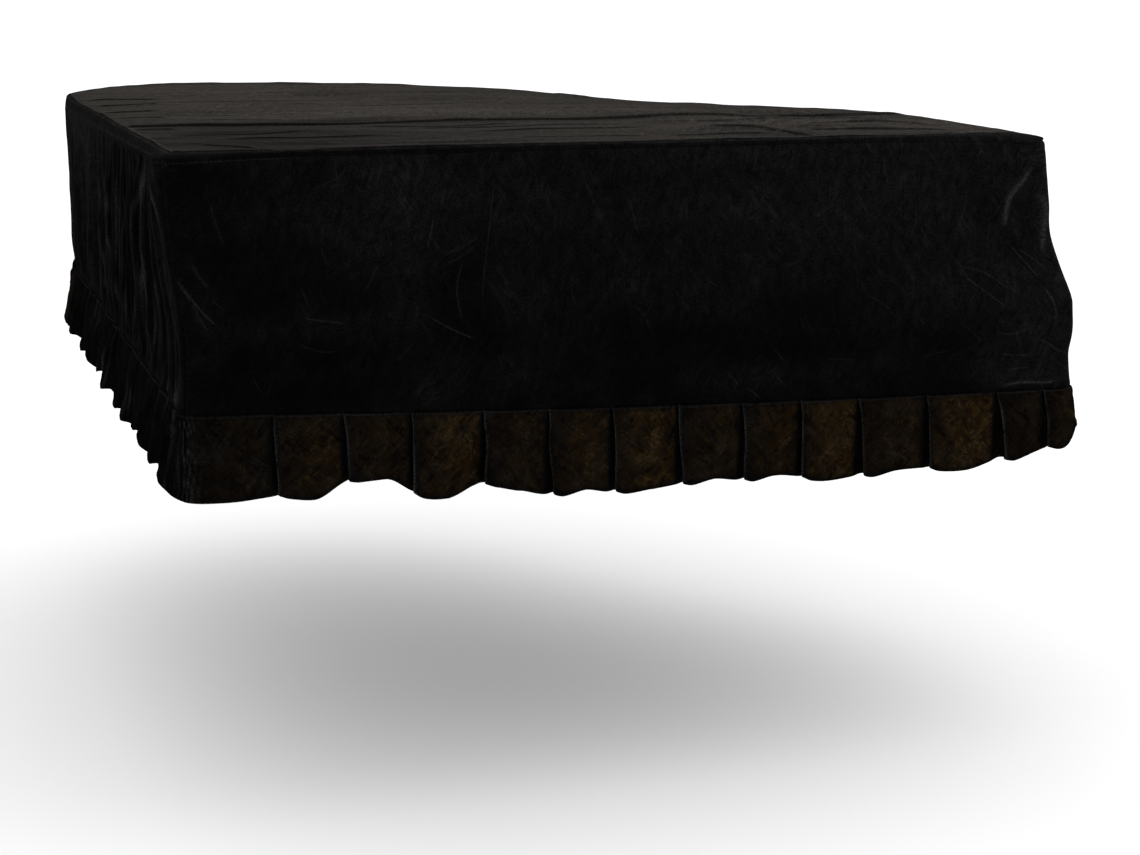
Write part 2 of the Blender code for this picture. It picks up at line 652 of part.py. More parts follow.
def pleated_ruffle(name, start, end, pleats, joints):
    """A strip of ruffle along the seam from start to end, which meets its neighbours at joints.

    Each pleat has the columns of the tables above, with the run of its fold in place of x.
    """
    hems, flares = [joint[1] for joint in joints], [joint[2] for joint in joints]
    runs, leans, seam_out, hem_out = pleat_stations(start, end, pleats, flares)
    hem = hem_line(runs, start, end, pleats, hems)
    seam_drop = edge_value(lid_run(runs), "ruffle_seam") + GAP / 2
    outer, inner = [], []
    for row in RUFFLE_ROWS:
        along = np.clip(runs + leans * row, start, end)
        out = seam_out + (hem_out - seam_out) * row**FLARE_CURVE
        wall = wall_line(lid_run(along), edge_value(lid_run(along), "ruffle_seam"))
        middle = wall + SEAM.outward(along) * (out - CLOTH / 2)[:, None]
        half = CLOTH / 2 * across_line(middle, SEAM.outward(start), SEAM.outward(end))
        drop = seam_drop + (hem - seam_drop) * row
        outer.append(placed(middle + half, -drop))
        inner.append(placed(middle - half, -drop))
    return grid_sheet(name, np.array(outer), np.array(inner))


def back_pleats(start, end):
    """The back's pleats, which are alike but for a little unevenness."""
    count = round((end - start) / PLEAT_PITCH)
    pitch = (end - start) / count
    pleats = []
    for number in range(1, count):
        fold = start + pitch * (number + 0.12 * np.sin(number * 2.3))
        hem = edge_value(lid_run(fold), "ruffle_seam") + RUFFLE
        uneven = HEM_UNEVEN * np.sin(number * 1.7)
        bold = 1.0 + 0.15 * np.sin(number * 2.9)
        pleats.append((fold, BACK_LEAN, hem + uneven, hem - 0.6 * uneven, bold))
    return pleats


# ---- The cover


def columns_between(start, end, pitch, corners=()):
    """Runs from start to end about a pitch apart, with closer ones round a corner."""
    runs = np.linspace(start, end, 1 + max(2, round((end - start) / pitch)))
    arc = FRONT_CORNER * np.radians(45.0)
    extra = [corner + side * arc for corner in corners for side in (-1.0, -0.5, 0.5, 1.0)]
    extra = [run for run in extra if start < run < end]
    runs = [run for run in runs if all(abs(run - other) > 0.35 * arc for other in extra)]
    return np.array(sorted(runs + extra))


def build():
    for old in list(bpy.data.objects):
        bpy.data.objects.remove(old, do_unlink=True)
    corners = (0.0, RIGHT_CORNER, LID.length)
    front = columns_between(GAP / 2, RIGHT_CORNER - GAP / 2, FRONT_COLUMN, corners)
    back = columns_between(RIGHT_CORNER + GAP / 2, BACK_END - GAP / 2, BACK_COLUMN, corners)
    spine = columns_between(BACK_END + GAP / 2, LID.length - GAP / 2, SPINE_COLUMN, corners)
    wall_panel("front_panel", front)
    wall_panel("back_panel", back)
    wall_panel("spine_panel", spine)
    seams = ([0.0], front[1:-1], [RIGHT_CORNER], back[1:-1], [BACK_END], spine[1:-1])
    top_panel("top_panel", np.concatenate(seams))

    half = GAP / 2
    right, tail, left = seam_run(RIGHT_CORNER), seam_run(BACK_END), SEAM.length
    front_pleats = [(seam_run_beside(x=row[0]),) + row[1:] for row in FRONT_PLEATS]
    spine_pleats = [(seam_run_beside(y=row[0]),) + row[1:] for row in SPINE_PLEATS]
    at_left, at_right, at_tail = RUFFLE_JOINTS
    pleated_ruffle("front_ruffle", half, right - half, front_pleats, (at_left, at_right))
    round_back = back_pleats(right, tail)
    pleated_ruffle("back_ruffle", right + half, tail - half, round_back, (at_right, at_tail))
    pleated_ruffle("spine_ruffle", tail + half, left - half, spine_pleats, (at_tail, at_left))


build()
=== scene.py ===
"""A black velvet cover as it hangs on a closed baby grand, which is left out: the finished looks.

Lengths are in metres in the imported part's frame: +X to the treble side, +Y to the tail, +Z up,
with the origin at the middle of the piano's lid on the underside of the cover's top. A drop is
how far a point lies below the lid. A run is how far it lies along the lid's edge, from the front
left corner along the front, up the treble side, round the tail and back down the spine. Each
piece of cloth is one thin sheet on the folds of its solid, with its creases raised in the mesh.
"""

import bpy
import numpy as np
from mathutils import Matrix, Vector
from mathutils.geometry import delaunay_2d_cdt


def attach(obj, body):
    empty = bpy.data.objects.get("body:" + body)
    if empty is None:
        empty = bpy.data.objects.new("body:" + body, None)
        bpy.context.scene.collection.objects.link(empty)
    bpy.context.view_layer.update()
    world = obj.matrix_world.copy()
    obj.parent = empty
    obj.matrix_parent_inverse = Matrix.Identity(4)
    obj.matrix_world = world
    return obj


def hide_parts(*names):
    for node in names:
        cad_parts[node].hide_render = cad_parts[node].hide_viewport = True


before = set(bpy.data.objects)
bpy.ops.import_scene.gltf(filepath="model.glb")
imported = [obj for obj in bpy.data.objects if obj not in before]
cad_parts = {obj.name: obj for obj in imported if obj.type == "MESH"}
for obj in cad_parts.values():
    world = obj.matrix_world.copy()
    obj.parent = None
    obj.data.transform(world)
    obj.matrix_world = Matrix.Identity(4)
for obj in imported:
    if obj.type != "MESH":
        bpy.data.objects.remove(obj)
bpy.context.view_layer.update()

# ---- Driving sizes, as in the solids

CLOTH = 0.002
GAP = 0.0003
LID_WIDTH = 1.44
LID_LENGTH = 1.525
FRONT_CORNER = 0.016
EDGE_ROUND = 0.006
EDGE_STAND = 0.004
STAND_DROP = 0.02

LID_EDGE_COLUMNS = ("place", "x", "y", "lean", "top_seam", "ruffle_seam")
LID_EDGE = (
    ("front left", 0.000, 0.000, 0.030, 0.012, 0.360),
    ("front middle", 0.720, 0.000, 0.000, 0.006, 0.391),
    ("front right", 1.440, 0.000, 0.040, 0.010, 0.402),
    ("cheek end", 1.440, 0.360, 0.040, 0.020, 0.396),
    ("shoulder", 1.400, 0.500, 0.045, 0.020, 0.390),
    ("bent side", 1.250, 0.650, 0.070, 0.020, 0.384),
    ("waist", 1.075, 0.830, 0.090, 0.020, 0.376),
    ("waist end", 0.990, 1.030, 0.050, 0.020, 0.368),
    ("tail shoulder", 0.910, 1.230, 0.000, 0.020, 0.360),
    ("tail right", 0.730, 1.385, 0.000, 0.020, 0.354),
    ("tail", 0.500, 1.485, 0.000, 0.020, 0.348),
    ("tail middle", 0.325, 1.525, -0.010, 0.020, 0.342),
    ("tail left", 0.134, 1.445, -0.030, 0.020, 0.334),
    ("spine end", 0.020, 1.280, -0.030, 0.020, 0.328),
    ("spine back", -0.003, 1.080, -0.010, 0.019, 0.328),
    ("spine middle", -0.003, 0.500, 0.015, 0.018, 0.338),
)
ROUND_FROM, ROUND_TO = 3, 14
PANEL_SEAM = "spine back"
CORNER_STEPS = 6
CURVE_STEPS = 12

CORNERS = (("front left", 0.020), ("front right", 0.032))
CORNER_SPREAD = 0.075
CORNER_FALL = 0.22
CORNER_KEPT = 0.2
CORNER_RISE = 0.014

FRONT_HANG_COLUMNS = ("drop", "over_arm", "between_arms")
FRONT_HANG = (
    (0.000, 0.000, 0.000),
    (0.011, 0.006, 0.004),
    (0.060, 0.020, 0.022),
    (0.110, 0.044, 0.047),
    (0.160, 0.064, 0.077),
    (0.205, 0.104, 0.109),
    (0.240, 0.138, 0.137),
    (0.262, 0.151, 0.149),
    (0.310, 0.150, 0.153),
    (0.350, 0.141, 0.148),
    (0.405, 0.146, 0.146),
)
FRONT_GROWN, FRONT_CREASES_GROWN = 0.03, 0.006
ARM_WIDTH = 0.06
ARM_BLEND = 0.24
ARM_REACH = 0.38

GATHER_PITCH, GATHER_DEPTH = 0.078, 0.0060
SMALL_GATHER_PITCH, SMALL_GATHER_DEPTH = 0.037, 0.0026
SMALL_GATHER_LOSS = 0.4
GATHER_GROWTH = 0.12
GATHER_DRIFT = ((0.9, 20.0), (0.5, 47.0))  # how far a wave drifts, and how fast along the run
SMALL_GATHER_DRIFT = 1.3
GATHER_BOLDNESS, BOLDNESS_TURN, BOLDNESS_START = 0.4, 27.0, 1.0
SOFT_FOLD_PITCH, SOFT_FOLD_DEPTH = 0.19, 0.0075
SOFT_FOLD_GROWTH = 0.40
SOFT_FOLD_DRIFT = ((0.8, 5.0), (0.5, 13.0))
# How far past its panel's first end a row of folds starts, over how far it grows there, and over
# how far it dies away at the other end.
GATHER_ENDS = (-0.10, 0.22, 0.03)
FINE_GATHER_ENDS = (0.0, 0.30, 0.012)
SOFT_FOLD_ENDS = (0.02, 0.20, 0.20)
FOLD_START = 0.015
SEAM_HOLD, SEAM_HOLD_HEIGHT = 0.75, 0.06

# ---- Creases, and patches of wear and painted light, in millimetres from the lid's front left corner

MILLIMETRES = 1000.0


def in_metres(rows):
    """Creases as their width, height and points, from rows that list them in that order."""
    made = []
    for wide, high, *places in rows:
        points = zip(places[::2], places[1::2])
        points = tuple((u / MILLIMETRES, v / MILLIMETRES) for u, v in points)
        made.append((wide / MILLIMETRES, high / MILLIMETRES, points))
    return tuple(made)


RIDGE_FADE = 0.3
# The pale lines along the creases are painted highlights.
BOLD = 0.0040  # how high a crease stands whose line is as pale as can be
LINE_TAPER = 0.22  # the share of a crease at each end over which it fades
LINE_SHARPNESS = 3.0  # how much narrower the pale line along a crease is than the crease
# The broad folds are the solids' own: x and y (drop on the front) of both ends, how wide and how
# high. The sharp creases lie on them.
BROAD_TOP_FOLDS = np.array((
    (10, 465, 750, 475, 26, 6.5),
    (700, 480, 1420, 462, 24, 7),
    (80, 150, 320, 75, 18, 4),
    (40, 350, 360, 285, 22, 3.5),
    (880, 235, 1120, 85, 20, 6),
    (1020, 235, 1320, 125, 22, 6),
    (800, 365, 1220, 335, 20, 4.5),
    (1180, 300, 1410, 260, 22, 5),
    (30, 740, 620, 700, 30, 4),
    (40, 930, 520, 840, 30, 4.5),
    (400, 610, 1160, 590, 26, 3.5),
    (460, 1010, 930, 900, 30, 4),
    (120, 1190, 700, 1130, 30, 4),
)) / MILLIMETRES
# How wide a crease is, how high, and x and y (drop on the front) of each point that it is drawn
# through. It tapers to both ends. Those on the top rise more steeply on the keyboard side.
HINGE = (
    -500, 452, -60, 459, 100, 449, 197, 441, 317, 431, 442, 429, 551, 440, 765, 441, 944, 448,
    1080, 440, 1160, 407, 1270, 400, 1410, 406, 1900, 420,
)
TOP_CREASES = in_metres((
    # The cloth steps up over the hinge of the lid's flap.
    (12, 4.4, *HINGE),
    # Near the front left corner.
    (6, 2, 63, 130, 107, 85, 149, 41),
    (7, 1.6, 30, 300, 140, 285, 300, 292),
    (8, 1.6, 100, 215, 260, 205, 420, 214),
    (6, 1.4, 180, 150, 330, 142, 520, 150),
    (6, 1.2, 260, 85, 400, 78, 560, 84),
    # Across the middle.
    (8, 2, 420, 330, 620, 318, 860, 326),
    (7, 1.8, 520, 255, 700, 245, 905, 250),
    (6, 1.4, 560, 120, 690, 110, 830, 118),
    (8, 2, 360, 380, 520, 372, 700, 384),
    # Towards the front right corner.
    (9, 4.2, 925, 205, 1001, 162, 1050, 84, 1078, 30),
    (7, 2.6, 820, 104, 870, 108, 931, 110, 1030, 88),
    (8, 3, 1060, 146, 1130, 142, 1202, 138, 1290, 114, 1375, 84),
    (8, 2.6, 1210, 262, 1318, 238, 1385, 156),
    (7, 2, 1030, 260, 1180, 262, 1380, 236),
    (8, 2.2, 900, 345, 1080, 338, 1260, 352, 1400, 330),
    (7, 1.8, 1080, 395, 1230, 400, 1380, 388),
    (6, 1.6, 1150, 52, 1260, 40, 1360, 30),
    # Behind the hinge.
    (11, 1.4, 80, 560, 300, 548, 560, 556),
    (11, 1.3, 480, 520, 700, 530, 960, 524, 1200, 536),
    (12, 1.5, 60, 690, 260, 662, 480, 668),
    (12, 1.2, 400, 630, 680, 642, 1020, 640),
    (10, 1.3, 72, 817, 98, 788, 160, 770, 300, 768),
    (14, 1.4, 300, 860, 560, 842, 880, 850),
    (16, 1.4, 90, 1020, 340, 990, 640, 1000),
    (16, 1.3, 280, 1170, 560, 1150, 860, 1160),
    (16, 1.2, 180, 1330, 420, 1310, 700, 1318),
    # Drawn in from the spine's gathers.
    (7, 2.6, 4, 612, 60, 626, 120, 632),
    (6, 2.4, 4, 472, 50, 490, 105, 496),
    (6, 2.2, 4, 392, 45, 400, 90, 398),
    (8, 2.6, 6, 760, 70, 785, 130, 790),
    (8, 2.6, 10, 910, 80, 935, 160, 940),
    (9, 2.8, 12, 1060, 90, 1080, 180, 1082),
))
BROAD_FRONT_FOLDS = np.array((
    (30, 180, 120, 240, 22, 6),
    (80, 130, 190, 250, 30, 4),
    (230, 245, 380, 250, 22, 5),
    (420, 100, 430, 300, 20, 4),
    (480, 20, 450, 330, 24, 5),
    (380, 240, 480, 290, 20, 4.5),
    (560, 60, 300, 200, 40, 4),
    (780, 50, 720, 330, 40, 3.5),
    (990, 30, 1040, 200, 30, 4),
    (1180, 40, 1200, 120, 22, 4.5),
    (1410, 30, 1340, 120, 22, 8),
    (1430, 80, 1430, 200, 20, 5),
    (1330, 130, 1420, 195, 22, 6),
    (1220, 330, 1430, 300, 24, 6),
    (1280, 370, 1430, 350, 20, 5),
)) / MILLIMETRES
FRONT_CREASES = in_metres((
    # At the front left corner, drawn from the key arm.
    (2.2, 2.4, 2, 142, 8, 182, 22, 214, 52, 243),
    (1.8, 1.4, 12, 196, 18, 222, 30, 246),
    (4, 1.4, 16, 144, 26, 168, 42, 189),
    (1.8, 1.2, 37, 199, 56, 214),
    (3, 1, 52, 60, 60, 100, 72, 140),
    (2, 1, 86, 304, 93, 320, 103, 336),
    # Across the left half.
    (1.8, 2, 158, 226, 187, 232, 238, 240),
    (1.6, 1.4, 172, 184, 180, 216),
    (1.4, 1.2, 197, 195, 208, 213),
    (1.6, 1.3, 251, 6, 250, 32, 255, 52),
    (2.2, 1, 272, 18, 252, 39, 202, 58),
    (6, -1.6, 325, 6, 290, 40, 246, 80),
    (1.6, 1.1, 376, 9, 387, 38),
    (1.5, 2, 394, 92, 386, 118, 372, 150),
    (1.8, 1.3, 317, 116, 321, 141),
    (2.2, 1.3, 299, 155, 286, 176, 265, 202),
    (1.5, 1.7, 508, 14, 488, 79, 467, 146, 446, 210, 434, 252),
    (1.9, 1.7, 430, 151, 411, 192, 407, 219, 406, 256),
    (1.7, 2.4, 348, 229, 377, 247, 405, 261, 434, 273),
    (3, 1.2, 466, 124, 428, 142, 388, 156),
    (2.4, 1.1, 458, 136, 424, 156, 392, 168),
    (2, 1, 340, 60, 352, 96, 349, 128),
    (2.2, 1, 222, 100, 214, 136, 220, 164),
    (1.8, 1, 336, 262, 310, 288, 296, 300),
    (2, 1.2, 150, 262, 190, 276, 222, 274),
    # Across the middle.
    (1.8, 1.4, 561, 28, 566, 58, 560, 88),
    (1.8, 1.5, 714, 69, 717, 111, 720, 148),
    (2, 1, 640, 40, 652, 72, 656, 98),
    (1.9, 1.3, 811, 82, 805, 121),
    (1.6, 1.3, 816, 201, 836, 219),
    (1.8, 1.1, 864, 8, 857, 31),
    (2.2, 0.9, 600, 180, 590, 214, 596, 240),
    (2, 0.9, 680, 226, 700, 250, 706, 276),
    (1.6, 1.4, 958, 260, 965, 285),
    (1.7, 1.4, 913, 309, 933, 332),
    (1.8, 1.8, 839, 345, 858, 367),
    (1.7, 1.8, 918, 352, 942, 378),
    (1.9, 1.9, 870, 369, 884, 380, 900, 393),
    (1.5, 1.3, 1001, 332, 1034, 334, 1066, 338),
    (2, 1, 930, 60, 952, 92, 958, 130),
    (2.4, 1, 1010, 100, 1040, 124, 1052, 160),
    # Across the right half.
    (1.8, 1.8, 1166, 4, 1179, 13, 1183, 39),
    (1.8, 1.8, 1170, 28, 1165, 53, 1168, 78),
    (2.4, 1.3, 1138, 23, 1124, 59),
    (2.2, 1.6, 1316, 74, 1298, 117, 1282, 143, 1258, 178),
    (2, 1.2, 1216, 90, 1206, 128, 1186, 160),
    (2, 1.5, 1163, 343, 1197, 332, 1231, 331),
    (2.2, 1, 1075, 232, 1108, 250, 1126, 276),
    # At the front right corner, drawn from the key arm.
    (2.6, -2.6, 1354, 165, 1378, 202, 1396, 230),
    (2, 2.2, 1360, 163, 1384, 200, 1401, 228),
    (7, 4, 1430, 36, 1406, 69, 1378, 97, 1366, 134, 1357, 160),
    (5.5, 3.4, 1426, 78, 1430, 112, 1428, 147, 1415, 200),
    (2.2, 2.2, 1370, 173, 1400, 195, 1420, 214),
    (2.2, 2.2, 1250, 203, 1276, 225, 1301, 246, 1332, 273),
    (2, 1.8, 1252, 197, 1304, 212, 1329, 231, 1363, 254),
    (2, 1.7, 1341, 199, 1338, 227, 1353, 252),
    (3.4, 2.8, 1394, 226, 1407, 257, 1411, 289, 1402, 305),
    (2.4, 2.2, 1377, 313, 1408, 330, 1434, 347),
    (2.2, 2, 1311, 338, 1345, 343, 1377, 344),
    (2.2, 1.9, 1323, 368, 1350, 364, 1374, 364),
    (4, 3.6, 1302, 399, 1330, 392, 1358, 388, 1410, 390, 1430, 372),
    (2.2, 1.8, 1296, 300, 1330, 306, 1372, 296),
    (2, 1.4, 1236, 285, 1262, 300, 1280, 322),
))

# Where the pile is paler, as soft patches of rubbed pile and of painted light: x and drop of the
# middle (y on the top), how far each reaches both ways, and how much paler it is as a percentage.
PATCH_UNITS = (MILLIMETRES, MILLIMETRES, MILLIMETRES, MILLIMETRES, 100.0)
FRONT_WEAR_AND_LIGHT = np.array((
    (400, 60, 160, 60, 75),
    (330, 140, 120, 50, 55),
    (560, 90, 100, 60, 40),
    (140, 80, 100, 50, 35),
    (220, 240, 120, 30, 30),
    (740, 100, 160, 70, 45),
    (950, 110, 140, 80, 60),
    (860, 220, 100, 50, 30),
    (1120, 90, 160, 70, 70),
    (1300, 130, 120, 70, 60),
    (1400, 260, 80, 100, 100),
    (1380, 40, 70, 50, 45),
    # The next two are painted highlights along the bright bands at the right edge.
    (1400, 75, 20, 35, 90),
    (1428, 130, 11, 55, 120),
    (1405, 290, 16, 50, 70),
    (1360, 385, 60, 8, 60),
    (1240, 240, 120, 50, 45),
    (1360, 370, 100, 30, 55),
    (900, 360, 140, 30, 40),
    (480, 330, 120, 40, 30),
    (1120, 340, 100, 30, 25),
    (800, 10, 240, 40, 55),
    (1160, 10, 220, 40, 75),
    (1390, 16, 70, 30, 60),
    (330, 30, 70, 50, 50),
    (440, 150, 60, 50, -20),
    (520, 80, 60, 40, -20),
    (530, 240, 60, 40, 30),
    (680, 200, 140, 50, 32),
    (1020, 80, 80, 50, -20),
    (1130, 200, 120, 70, 36),
    (1210, 12, 70, 30, 50),
    (1220, 50, 100, 50, 25),
    (1400, 30, 50, 40, 35),
    (1310, 320, 50, 50, 35),
    (120, 330, 140, 40, -12),
    (270, 370, 100, 30, 18),
    (350, 350, 50, 50, 25),
    (480, 190, 40, 60, 28),
    (1100, 280, 60, 35, 22),
    (1300, 350, 50, 35, 25),
    (190, 6, 140, 20, 30),
    (330, 215, 50, 40, 30),
    (20, 200, 30, 80, 20),
)) / PATCH_UNITS
# On the spine these are by y and drop, and paint its light and shade as well as its wear.
SPINE_WEAR_AND_LIGHT = np.array((
    (860, 100, 240, 150, 75),
    (420, 180, 140, 120, -30),
    (60, 200, 70, 100, 40),
    (220, 50, 60, 50, -30),
    (540, 160, 80, 120, -25),
    (940, 60, 120, 100, 45),
)) / PATCH_UNITS
# On the top they are painted sheen: paler behind and to the right, darker at the front left.
TOP_PAINTED_SHEEN = np.array((
    (150, 580, 300, 120, 25),
    (600, 660, 340, 130, 75),
    (1000, 600, 240, 140, 45),
    (450, 950, 500, 250, 35),
    (400, 1350, 500, 240, 45),
    (1150, 300, 340, 200, 55),
    (1360, 160, 140, 200, 40),
    (120, 150, 250, 270, -42),
)) / PATCH_UNITS


def scattered(
    seed, bunches, across, down, way, spread, wide, high, long=(6.0, 20.0), apart=0.16, loose=9.0
):
    """Bunches of small creases. The creases of one bunch lie nearly the same way: each bunch's own
    way differs from the given one by its spread, and its creases lie apart and loose in it."""
    dice = np.random.default_rng(seed)
    rows = []
    for _ in range(bunches):
        u, v = dice.uniform(*across), dice.uniform(*down)
        bunch_way = np.radians(dice.normal(way, spread))
        for _ in range(dice.integers(2, 7)):
            angle = bunch_way + dice.normal(0.0, apart)
            length = dice.uniform(*long) * wide
            u0 = u + dice.normal(0.0, loose * wide)
            v0 = v + dice.normal(0.0, loose * wide)
            u1, v1 = u0 + length * np.cos(angle), v0 - length * np.sin(angle)
            bow = 0.035 * length * dice.normal()
            middle = ((u0 + u1) / 2 + bow * np.sin(angle), (v0 + v1) / 2 + bow * np.cos(angle))
            size = (wide * dice.uniform(0.8, 1.3), high * dice.uniform(-0.7, 1.0))
            rows.append(size + (((u0, v0), middle, (u1, v1)),))
    return tuple(rows)


SMALL_FRONT_CREASES = (
    scattered(7, 40, (0.02, 1.42), (0.02, 0.37), 62.0, 34.0, 0.0015, 0.0010, (9.0, 26.0))
    + scattered(11, 18, (1.14, 1.42), (0.14, 0.37), 20.0, 38.0, 0.0015, 0.0012, (12.0, 40.0))
    + scattered(12, 8, (0.28, 0.50), (0.08, 0.26), 55.0, 20.0, 0.0015, 0.0012, (12.0, 40.0))
    + scattered(13, 9, (0.06, 0.45), (0.26, 0.37), 45.0, 25.0, 0.0015, 0.0012, (12.0, 34.0))
)
SMALL_TOP_CREASES = scattered(
    8, 26, (0.05, 1.35), (0.03, 1.25), 2.0, 6.0, 0.0040, 0.0008, (25.0, 80.0), 0.05
)
SMALL_BACK_CREASES = scattered(9, 30, (1.50, 4.25), (0.03, 0.34), 80.0, 35.0, 0.0028, 0.0014)

# ---- The ruffle, as in the solids

RUFFLE = 0.110
HEM_UNEVEN = 0.006
BACK_LEAN = 0.004
PLEAT_PITCH = 0.107
TUCK = 0.015
TURN = 0.002
FLARE_CURVE = 0.8
PLEAT_COLUMNS = ("place", "along", "past", "at_seam", "at_hem")
PLEAT = (
    ("return end", 0.00, 0.0000, 0.0005, 0.0170),
    ("shown fold", 0.00, -TURN, 0.0024, 0.0215),
    ("face", 0.08, 0.0000, 0.0042, 0.0235),
    ("face middle", 0.50, 0.0000, 0.0034, 0.0150),
    ("face end", 0.90, 0.0000, 0.0002, 0.0020),
    ("tucked", 1.00, TUCK, -0.0034, -0.0060),
    ("hidden fold", 1.00, TUCK + TURN, -0.0016, -0.0020),
    ("return", 1.00, TUCK, 0.0001, 0.0035),
)
RUFFLE_JOINTS = (
    ("front left", 0.489, 0.006),
    ("front right", 0.466, 0.015),
    ("spine back", 0.434, 0.022),
)
FRONT_PLEATS = (
    (0.121, 0.000, 0.489, 0.496, 0.75),
    (0.223, 0.002, 0.474, 0.472, 0.90),
    (0.329, -0.006, 0.499, 0.508, 1.15),
    (0.441, -0.002, 0.494, 0.506, 1.00),
    (0.546, 0.000, 0.519, 0.513, 1.05),
    (0.651, 0.003, 0.523, 0.521, 0.95),
    (0.760, 0.001, 0.519, 0.512, 0.95),
    (0.866, 0.002, 0.520, 0.514, 0.90),
    (0.969, -0.003, 0.522, 0.528, 1.00),
    (1.068, 0.004, 0.527, 0.519, 0.95),
    (1.190, 0.000, 0.522, 0.527, 1.00),
    (1.314, 0.012, 0.517, 0.508, 0.95),
    (1.400, 0.006, 0.500, 0.497, 0.80),
)
SPINE_PLEATS = (
    (0.970, 0.004, 0.430, 0.426, 1.35),
    (0.862, 0.006, 0.442, 0.436, 1.10),
    (0.755, 0.004, 0.438, 0.444, 1.20),
    (0.640, 0.006, 0.442, 0.432, 1.05),
    (0.530, 0.004, 0.450, 0.444, 1.25),
    (0.432, 0.006, 0.464, 0.456, 1.00),
    (0.325, 0.004, 0.462, 0.458, 1.20),
    (0.220, 0.006, 0.457, 0.449, 1.00),
    (0.120, 0.004, 0.455, 0.463, 1.20),
    (0.030, 0.006, 0.468, 0.460, 1.05),
    (-0.060, 0.004, 0.470, 0.478, 0.95),
)
SEAM_STEPS = 1600

# ---- Fineness: how close together the meshes' points are

FRONT_CELL, SPINE_CELL, BACK_CELL, TOP_CELL, TOP_RIM_CELL = 0.0054, 0.0024, 0.0125, 0.0100, 0.0056
SPINE_DOWN = 0.0070
RUFFLE_CELL, BACK_RUFFLE_CELL = 0.0026, 0.0058
BORDER_CELL, BORDER_CELL_DOWN = 0.004, 0.005
# The rows of points beside a wall's two edges, and how clear of them the other points stay.
TOP_EDGE_ROWS = (0.0008, 0.0016, 0.0024, 0.0032, 0.0045, 0.0065)
LOW_EDGE_ROWS = (0.0080, 0.0160, 0.0190, 0.0215, 0.0232, 0.0242, 0.0252, 0.0262, 0.0280)
EDGE_ROWS_APART = 0.001
# Where the points beside a crease lie, in widths of it, and how high a crease is that needs fewer.
ACROSS_CREASE = (-2.3, -1.4, -0.7, 0.0, 0.7, 1.4, 2.3)
ACROSS_SMALL_CREASE = (-1.6, -0.7, 0.0, 0.7, 1.6)
SMALL_CREASE = 0.0013
ALONG_CREASE = 1.7
CLOSEST, FARTHEST = 0.0008, 0.008

# ---- Seams. A panel's upper edge slips behind the top's turned-down edge, and its lower edge
# behind the ruffle.

TOP_ROLL, RUFFLE_ROLL, ROLL_WIDTH = 0.0005, 0.0018, 0.003
UNDER_TOP, UNDER_TOP_REACH = 0.0016, 0.002
UNDER_TOP_START, UNDER_TOP_TURN = 0.0018, 0.0026
UNDER_RUFFLE, UNDER_RUFFLE_REACH = 0.0014, 0.024
UNDER_RUFFLE_START, UNDER_RUFFLE_TURN = 0.0024, 0.0026
BEHIND_RUFFLE, BEHIND_RUFFLE_TURN = 0.0050, 0.0070
SEAM_CALM, RUFFLE_CALM = 0.010, 0.004  # how near a seam the creases die away

# ---- The top's rim, from the flat cloth round the lid's edge to the seam

# How far along the cloth it bends, and the share of the turn that it has made there.
RIM_KNOTS = (0.0, 0.010, 0.019, 0.031)
RIM_TURNED = (0.0, 0.5, 0.9, 1.0)
RIM_STEPS = 11
RIM_SHOULDER, RIM_SHOULDER_HEIGHT, RIM_CREASED = 0.3, 0.75, 0.5
TOP_INSET = 0.012  # how far inside the lid's edge the rim begins
TURNED_OVER = 0.15  # the share of the turn past which the rim has the walls' darker velvet, not the top's painted sheen
TOP_STEEPNESS = 0.3  # how narrow the near side of the top's creases is
# How high the cloth's ease stands up in soft lumps round the lid's edge, and how far apart.
RIM_EASE, RIM_EASE_CELL, RIM_LUMP, RIM_LUMP_CELL = 0.0036, 0.10, 0.0012, 0.03
# The painted highlights at the bend and the seam: where, and how wide. They are uneven along the
# rim.
RIM_LINES = ((0.010, 0.0022), (RIM_KNOTS[-1], 0.0025))
RIM_LINE_LIGHT, RIM_LINE_MEAN, RIM_LINE_SWING, RIM_LINE_CELL = 0.6, 0.6, 0.4, 0.02
# Where the rim's painted light grows paler: from which x, over how far, and how much.
RIM_PAINTED_LIGHT = ((0.30, 0.60, 0.45), (1.10, 0.25, 0.40))
# How pale the rim is everywhere, and how much paler along the spine, as painted light.
RIM_LEAST_PALE, SPINE_RIM_PAINTED_LIGHT = 0.15, 0.20
RIM_RUMPLED, SPINE_RIM_RUMPLED, RUMPLED_CELL = 0.15, 0.42, 0.013
UP = (0.0, 0.0, 1.0)

# ---- The ruffle's cloth

# How high its hem is turned up, how much thicker it is there, and how its lower edge is rounded.
HEM = 0.012
HEM_STEP, HEM_STEP_REACH = 0.0005, 0.002
HEM_ROUND, HEM_THINNEST = 0.0016, 0.12
# How a fold's corner is rounded at the hem, how it wanders on its way down, and its painted
# highlight.
FOLD_ROUND, FOLD_ROUND_REACH = 0.0045, 0.008
FOLD_WANDER, FOLD_WANDERS, FOLD_HELD, STRIP_END_REACH = 0.0026, 2.2, 0.25, 0.03
FOLD_LINE, FOLD_LIGHT, FOLD_BROKEN, FOLD_BREAKS = 0.0022, 0.9, 0.35, 3.0
# The painted highlight along the seam: how wide, how far below it, and how light.
SEAM_LINE, SEAM_LINE_DROP, SEAM_LINE_LIGHT = 0.0013, 0.0015, 0.25
LINE_SHOWS = 0.1  # how light a fold's or seam's line is where it hides the small creases
# Painted highlights of fine gathers at the front left corner, which the mesh does not have.
BUNCH_PITCH, BUNCH_REACH, BUNCH_LIGHT = 0.0068, 0.015, 0.42
BUNCH_WANDER, BUNCH_WANDER_CELL, BUNCH_BELOW = 0.0070, 0.04, 0.1
